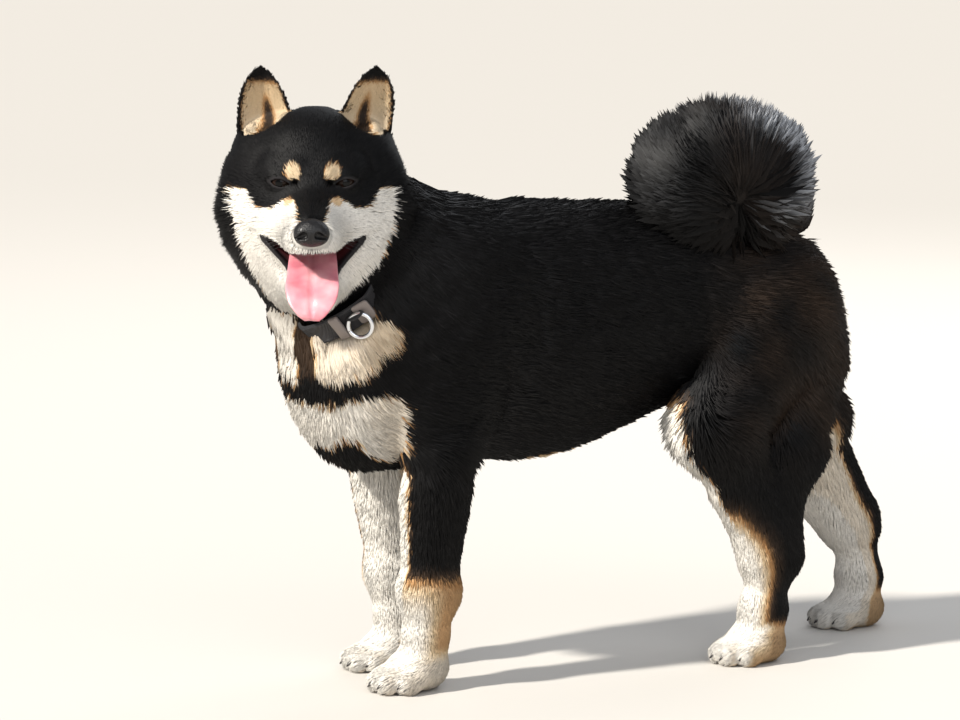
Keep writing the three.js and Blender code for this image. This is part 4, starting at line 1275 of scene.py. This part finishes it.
def loft(rings):
    """Points and faces of a skin over rings of as many points each, with a fan at each end."""
    rings = [np.asarray(r, F32) for r in rings]
    around = len(rings[0])
    points = np.concatenate(rings + [rings[0].mean(0)[None], rings[-1].mean(0)[None]])
    row = np.arange(len(rings) - 1)[:, None] * around
    j = np.arange(around)[None]
    after = (j + 1) % around
    quads = np.stack([row + j, row + j + around, row + after + around, row + after], -1).reshape(-1, 4)
    j, after = j[0], after[0]
    first, last = len(points) - 2, len(points) - 1
    end = (len(rings) - 1) * around
    tris = np.concatenate([np.stack([np.full(around, first), j, after], 1),
                           np.stack([np.full(around, last), end + after, end + j], 1)])
    return points, [quads, tris]


def joined(shapes):
    points, quads, tris, start = [], [], [], 0
    for p, (q, t) in shapes:
        points.append(p)
        quads.append(q + start)
        tris.append(t + start)
        start += len(p)
    return np.concatenate(points), [np.concatenate(quads), np.concatenate(tris)]


def circle(count):
    return np.linspace(0, 2 * math.pi, count, endpoint=False)


def rod(path, radii, sides=10, flat=1.0, facing=(0, 0, 1)):
    rings = []
    path = vec(path)
    turn = circle(sides)[:, None]
    for i, p in enumerate(path):
        tangent = unit(path[min(i + 1, len(path) - 1)] - path[max(i - 1, 0)])
        across = unit(np.cross(tangent, vec(facing)))
        out = np.cross(across, tangent)
        rings.append(p + radii[i] * (across * np.cos(turn) + out * np.sin(turn) * flat))
    return loft(rings)


def smooth_path(rows, count):
    """A smooth curve through the rows, each a point with what goes with it."""
    rows = np.asarray(rows, F32)
    padded = np.concatenate([[2 * rows[0] - rows[1]], rows, [2 * rows[-1] - rows[-2]]])
    at = np.linspace(0, len(rows) - 1, count)
    i = np.minimum(at.astype(int), len(rows) - 2)
    t = (at - i)[:, None]
    a, b, c, d = (padded[i + k] for k in range(4))
    square, cube = 2 * a - 5 * b + 4 * c - d, 3 * b - a - 3 * c + d
    return 0.5 * (2 * b + (c - a) * t + square * t ** 2 + cube * t ** 3)


def make_tongue():
    rows = smooth_path(TONGUE, 40)
    last = len(rows) - 1
    rings = []
    turn = circle(48)
    for i, (y, z, half) in enumerate(rows):
        ahead = rows[min(i + 1, last)][:2] - rows[max(i - 1, 0)][:2]
        ahead = ahead / np.linalg.norm(ahead)
        normal = vec([0, -ahead[1], ahead[0]])
        thick = min(3.4, half / 2.6)
        u = np.cos(turn)
        over = np.sin(turn)
        groove = 2.2 * np.exp(-(u / 0.1) ** 2) * (over > 0) * smooth(0, 8, i) * smooth(last, 30, i)
        curl = 2.6 * u * u * smooth(2, 20, i)
        wave = 0.5 * np.sin(i * 0.55 + 3 * u)
        height = thick * np.sign(over) * np.abs(over) ** 0.7 - groove + curl - 1.2 + wave
        ring = np.stack([u * half, 0 * u, 0 * u], 1) + vec([0, y, z]) + height[:, None] * normal
        rings.append(from_head(ring))
    points, faces = loft(rings)
    material, bsdf = grained(
        "tongue", (0.80, 0.20, 0.235), 0.34, ("Noise", dict(Scale=1400.0, Detail=2.0)), 0.5, 0.0006,
        Subsurface_Weight=0.25, Subsurface_Radius=(0.006, 0.002, 0.0015), Coat_Weight=0.35,
        Coat_Roughness=0.2)
    tone = texture(material, "Noise", Scale=60.0, Detail=2.0)
    two_tones(material, bsdf, tone, (0.68, 0.20, 0.25), (0.88, 0.42, 0.45), 0.3, 0.7)
    dress(mesh_object("tongue_piece", points, faces), material, "tongue", "tongue")


def nose_field(p):
    q = mirrored(to_head(p))
    x0, y0, z0 = NOSE["at"]
    pad = ball(NOSE["at"], NOSE["r"])(q)
    pad = soft_min(pad, ball([x0 + 6.5, y0 + 1, z0 - 1], [7.5, 8.5, 8])(q), 3)
    nostril = limb([x0 + 5.8, y0 + 9.5, z0 - 1], [x0 + 12, y0 + 4.5, z0 - 3.5], 3.1, 1.2)(q)
    cleft = limb([x0, y0 + 11.5, z0 - 1], [x0, y0 + 6, z0 - 13], 1.0, 1.2)(q)
    return soft_max(soft_max(pad, -nostril, 1.2), -cleft, 1.0)


def make_nose():
    reach, cell = 22, 0.8
    axes = [spaced((at - reach, at + reach, cell)) for at in from_head(NOSE["at"])]
    points, quads = surface(nose_field, axes)
    material, _ = grained(
        "nose", (0.006, 0.0055, 0.006), 0.4, ("Voronoi", dict(Scale=800.0)), 0.6, 0.0006, "Distance",
        Specular_IOR_Level=0.3, Coat_Weight=0.15, Coat_Roughness=0.25)
    dress(mesh_object("nose_pad", points, [quads]), material, "nose", "nose")


def make_eyes():
    material, bsdf = shader("eye", (0.03, 0.014, 0.006), 0.06, Specular_IOR_Level=0.18)
    colour = node(material, "ShaderNodeVertexColor", layer_name="Coat")
    link(material, colour, "Color", bsdf, "Base Color")
    lon, lat = 48, 32
    turn = circle(lon)[:, None]
    for name, side in (("right", 1), ("left", -1)):
        at, outward, up, forward = eye_frame(side)
        rings, shades = [], []
        for i in range(1, lat):
            a = math.pi * i / lat
            r = EYE["r"] * (1 + 0.05 * smooth(0.75, 0.2, a))
            around = np.cos(turn) * outward + np.sin(turn) * up * -side
            rings.append(at + r * (math.cos(a) * forward + math.sin(a) * around))
            iris = mix(IRIS, EYE_WHITE, smooth(0.98, 1.1, a))
            shades.append(PUPIL if a < 0.36 else iris)
        points, faces = loft(rings)
        colours = np.concatenate([np.repeat(vec(shades), lon, 0), vec([shades[0]]), vec([shades[-1]])])
        dress(mesh_object("eyeball_" + name, points, faces, colours), material, "eye", "eye_" + name)


def make_claws():
    material, _ = grained(
        "claw", (0.022, 0.018, 0.016), 0.38, ("Noise", dict(Scale=400.0, Detail=3.0)), 0.3, 0.0004)
    t = np.linspace(0, 1, 9)
    radii = CLAW["r"] * (1 - 0.85 * t ** 1.3) * 0.9
    shapes = []
    for leg in [*FORE.values(), *HIND.values()]:
        for side, ahead in CLAW["places"]:
            path = [paw_place(leg, ahead - 1 + CLAW["length"] * s, side, 11 - CLAW["drop"] * s * s)
                    for s in t]
            shapes.append(rod(path, radii, 10, 1.15))
    dress(mesh_object("claws", *joined(shapes)), material, "nose")


def make_whiskers():
    rng = np.random.default_rng(31)
    shapes = []
    for side in (1, -1):
        for row in range(3):
            for i in range(3):
                aside, down = 17 + row * 1.5 + i * 1.2, 38 + row * 3.2 - i * 0.8
                start = vec([side * aside, 88 - i * 9 - row * 2, -down])
                way = unit(vec([side * (0.8 + 0.1 * row), 0.25 - 0.22 * i, 0.12 - 0.22 * row]))
                t = np.linspace(0, 1, 8)[:, None]
                long = rng.uniform(18, 30)
                path = from_head(start + way * long * t + vec([0, -0.16, -0.12]) * long * t * t)
                shapes.append(rod(path, 0.2 * (1 - 0.85 * t[:, 0]), 5))
    material, _ = shader("whisker", (0.02, 0.018, 0.017), 0.4)
    dress(mesh_object("whiskers", *joined(shapes)), material, "black_coat")


def collar_frame(turn, out):
    foot = on_collar(math.radians(turn))[0]
    forward = unit(foot - collar_middle)
    side = unit(np.cross(neck_axis, forward))
    return foot + forward * out, side, neck_axis, forward


def rounded_plate(turn, out, wide, tall, thick, corner):
    """A plate with rounded corners and edges that lies on the strap."""
    at, side, along, forward = collar_frame(turn, out)
    outline = []
    for cx, cy, start in ((1, 1, 0), (-1, 1, 90), (-1, -1, 180), (1, -1, 270)):
        for a in np.radians(np.linspace(start, start + 90, 8)):
            outline.append([cx * (wide / 2 - corner) + corner * math.cos(a),
                            cy * (tall / 2 - corner) + corner * math.sin(a)])
    outline = np.array(outline)
    rings = []
    edge = thick * 0.3
    profile = [(edge, 0), (0, edge), (0, thick - edge), (edge * 0.3, thick - edge * 0.3), (edge, thick)]
    for shrink, height in profile:
        scale = 1 - shrink / np.array([wide / 2, tall / 2])
        flat = outline * scale
        rings.append(at + flat[:, :1] * side + flat[:, 1:] * along + height * forward)
    return loft(rings)


def make_strap():
    turns = circle(COLLAR["segments"])
    foot = on_collar(turns)
    for _ in range(3):
        foot = (np.roll(foot, 1, 0) + 2 * foot + np.roll(foot, -1, 0)) / 4
    out = unit(foot - collar_middle)
    angle = np.degrees(turns)
    shown = smooth(SHOWN[0] - 12, SHOWN[0], angle) * smooth(SHOWN[1] + 12, SHOWN[1], angle)
    foot = foot - out * (COLLAR["hidden"] * (1 - shown))[:, None]
    half, thick = COLLAR["width"] / 2, COLLAR["thick"]
    chamfer, border, groove = 0.8, 2.6, 0.5
    upper = [(-thick, half - chamfer), (-thick + chamfer, half), (-chamfer, half), (0, half - chamfer),
             (0, half - border), (-groove, half - border - 0.6)]
    section = upper + [(depth, -along) for depth, along in reversed(upper)]
    around, count = len(section), len(foot)
    points = np.concatenate([foot + depth * out + along * neck_axis for depth, along in section])
    i = np.arange(count)
    after = (i + 1) % count
    quads = []
    for s in range(around):
        row, above = s * count, (s + 1) % around * count
        quads.append(np.stack([row + i, row + after, above + after, above + i], 1))
    material, bsdf = grained(
        "strap", (0.012, 0.012, 0.014), 0.62,
        ("Wave", dict(Scale=700.0, Distortion=0.4, bands_direction="DIAGONAL")), 0.6, 0.0008)
    fine = texture(material, "Noise", Scale=900.0, Detail=2.0)
    two_tones(material, bsdf, fine, (0.006, 0.006, 0.008), (0.030, 0.029, 0.032))
    dress(mesh_object("collar_strap", points, [np.concatenate(quads)]), material, "strap", "collar")
    return material


def make_keeper():
    material, _ = grained(
        "keeper", (0.20, 0.17, 0.155), 0.42, ("Noise", dict(Scale=1500.0, Detail=2.0)), 0.2, 0.0003)
    plates = [rounded_plate(p["turn"], -0.6, p["wide"], p["tall"], p["thick"], p["corner"])
              for p in (KEEPER, BUCKLE)]
    dress(mesh_object("keeper_plates", *joined(plates)), material, "keeper", "collar_keeper")


def make_ring(strap):
    """The ring and the loop of strap that holds it."""
    at, side, along, forward = collar_frame(DRING["turn"], 0)
    lean = math.radians(DRING["lean"])
    rows = []
    for a in np.linspace(0, 2 * math.pi, 65):
        x, y = DRING["r"] * math.cos(a), DRING["r"] + DRING["r"] * math.sin(a)
        y, z = y * math.cos(lean) + DRING["top"], y * math.sin(lean) + DRING["wire"] + 0.9
        rows.append(at + x * side + y * along + z * forward)
    steel, _ = grained(
        "ring", (0.72, 0.73, 0.75), 0.24, ("Noise", dict(Scale=600.0, Detail=4.0)), 0.08, 0.0003,
        Metallic=1.0)
    ring = rod(rows, np.full(len(rows), DRING["wire"] * 0.95), 14, 1.0, forward)
    dress(mesh_object("collar_dring", *ring), steel, "ring", "collar_ring")
    half, swell, thick = 6, 3.6, 3.6
    path = [at + along * (DRING["top"] + 1) + side * s + forward * (1.2 + swell * (1 - (s / half) ** 2))
            for s in np.linspace(-half, half, 15)]
    loop = rod(path, np.full(len(path), thick), 12, 0.4, along)
    dress(mesh_object("collar_loop", *loop), strap, "strap")


# Stage, light and camera

def make_floor():
    size = 40
    mesh = bpy.data.meshes.new("floor")
    corners = [(x * size, y * size, 0) for x, y in ((-1, -1), (1, -1), (1, 1), (-1, 1))]
    mesh.from_pydata(corners, [], [(0, 1, 2, 3)])
    material, _ = grained(
        "floor", (0.66, 0.63, 0.585), 0.9, ("Noise", dict(Scale=40.0, Detail=4.0)), 0.08, 0.001)
    mesh.materials.append(material)
    placed("floor", mesh)


CAMERA = dict(azimuth=-23, elevation=11.5, distance=3.6, focal_px=4430, aim_px=(405, 690),
              frame_px=(960, 720))


def make_camera():
    """A camera that has the left fore paw at its place in the frame."""
    c = CAMERA
    width, height = c["frame_px"]
    target = Vector(metres([*FORE["left"]["paw"], 0]).tolist())
    a, e = math.radians(c["azimuth"]), math.radians(c["elevation"])
    back = Vector((math.sin(a), -math.cos(a), math.tan(e))) * c["distance"]
    aside = math.atan((c["aim_px"][0] - width / 2) / c["focal_px"])
    below = math.atan((c["aim_px"][1] - height / 2) / c["focal_px"])
    heading, dip = -a - aside, e - below
    forward = Vector((math.sin(heading) * math.cos(dip), math.cos(heading) * math.cos(dip), -math.sin(dip)))
    data = bpy.data.cameras.new("camera")
    data.sensor_width = 36
    data.lens = c["focal_px"] / width * data.sensor_width
    data.clip_end = 120
    camera = placed("camera", data)
    camera.location = target + back
    camera.rotation_mode = "QUATERNION"
    camera.rotation_quaternion = forward.to_track_quat("-Z", "Y")
    bpy.context.scene.camera = camera


def add_light(name, kind, energy, towards, colour, **settings):
    data = bpy.data.lights.new(name, kind)
    data.energy = energy
    data.color = colour
    for key, value in settings.items():
        setattr(data, key, value)
    light = placed(name, data)
    away = Vector(towards).normalized()
    light.location = Vector((0, 0, 0.25)) + away * 3.2
    light.rotation_mode = "QUATERNION"
    light.rotation_quaternion = (-away).to_track_quat("-Z", "Y")


def make_light():
    add_light("key", "SUN", 5.3, (-0.80, -0.16, 0.62), (1.0, 0.955, 0.88), angle=math.radians(4))
    add_light("fill", "AREA", 36, (-0.25, -0.9, 0.55), (0.93, 0.96, 1.0), size=2.6)
    add_light("back", "AREA", 30, (0.75, 0.65, 0.75), (0.95, 0.97, 1.0), size=2.2)
    world = bpy.data.worlds.new("studio")
    world.use_nodes = True
    background = world.node_tree.nodes["Background"]
    background.inputs["Color"].default_value = (0.86, 0.90, 0.97, 1)
    background.inputs["Strength"].default_value = 0.42
    bpy.context.scene.world = world
    bpy.context.scene.view_settings.view_transform = "Standard"


make_camera()
make_coat()
make_eyes()
make_nose()
make_tongue()
make_claws()
make_whiskers()
strap_material = make_strap()
make_keeper()
make_ring(strap_material)
make_floor()
make_light()
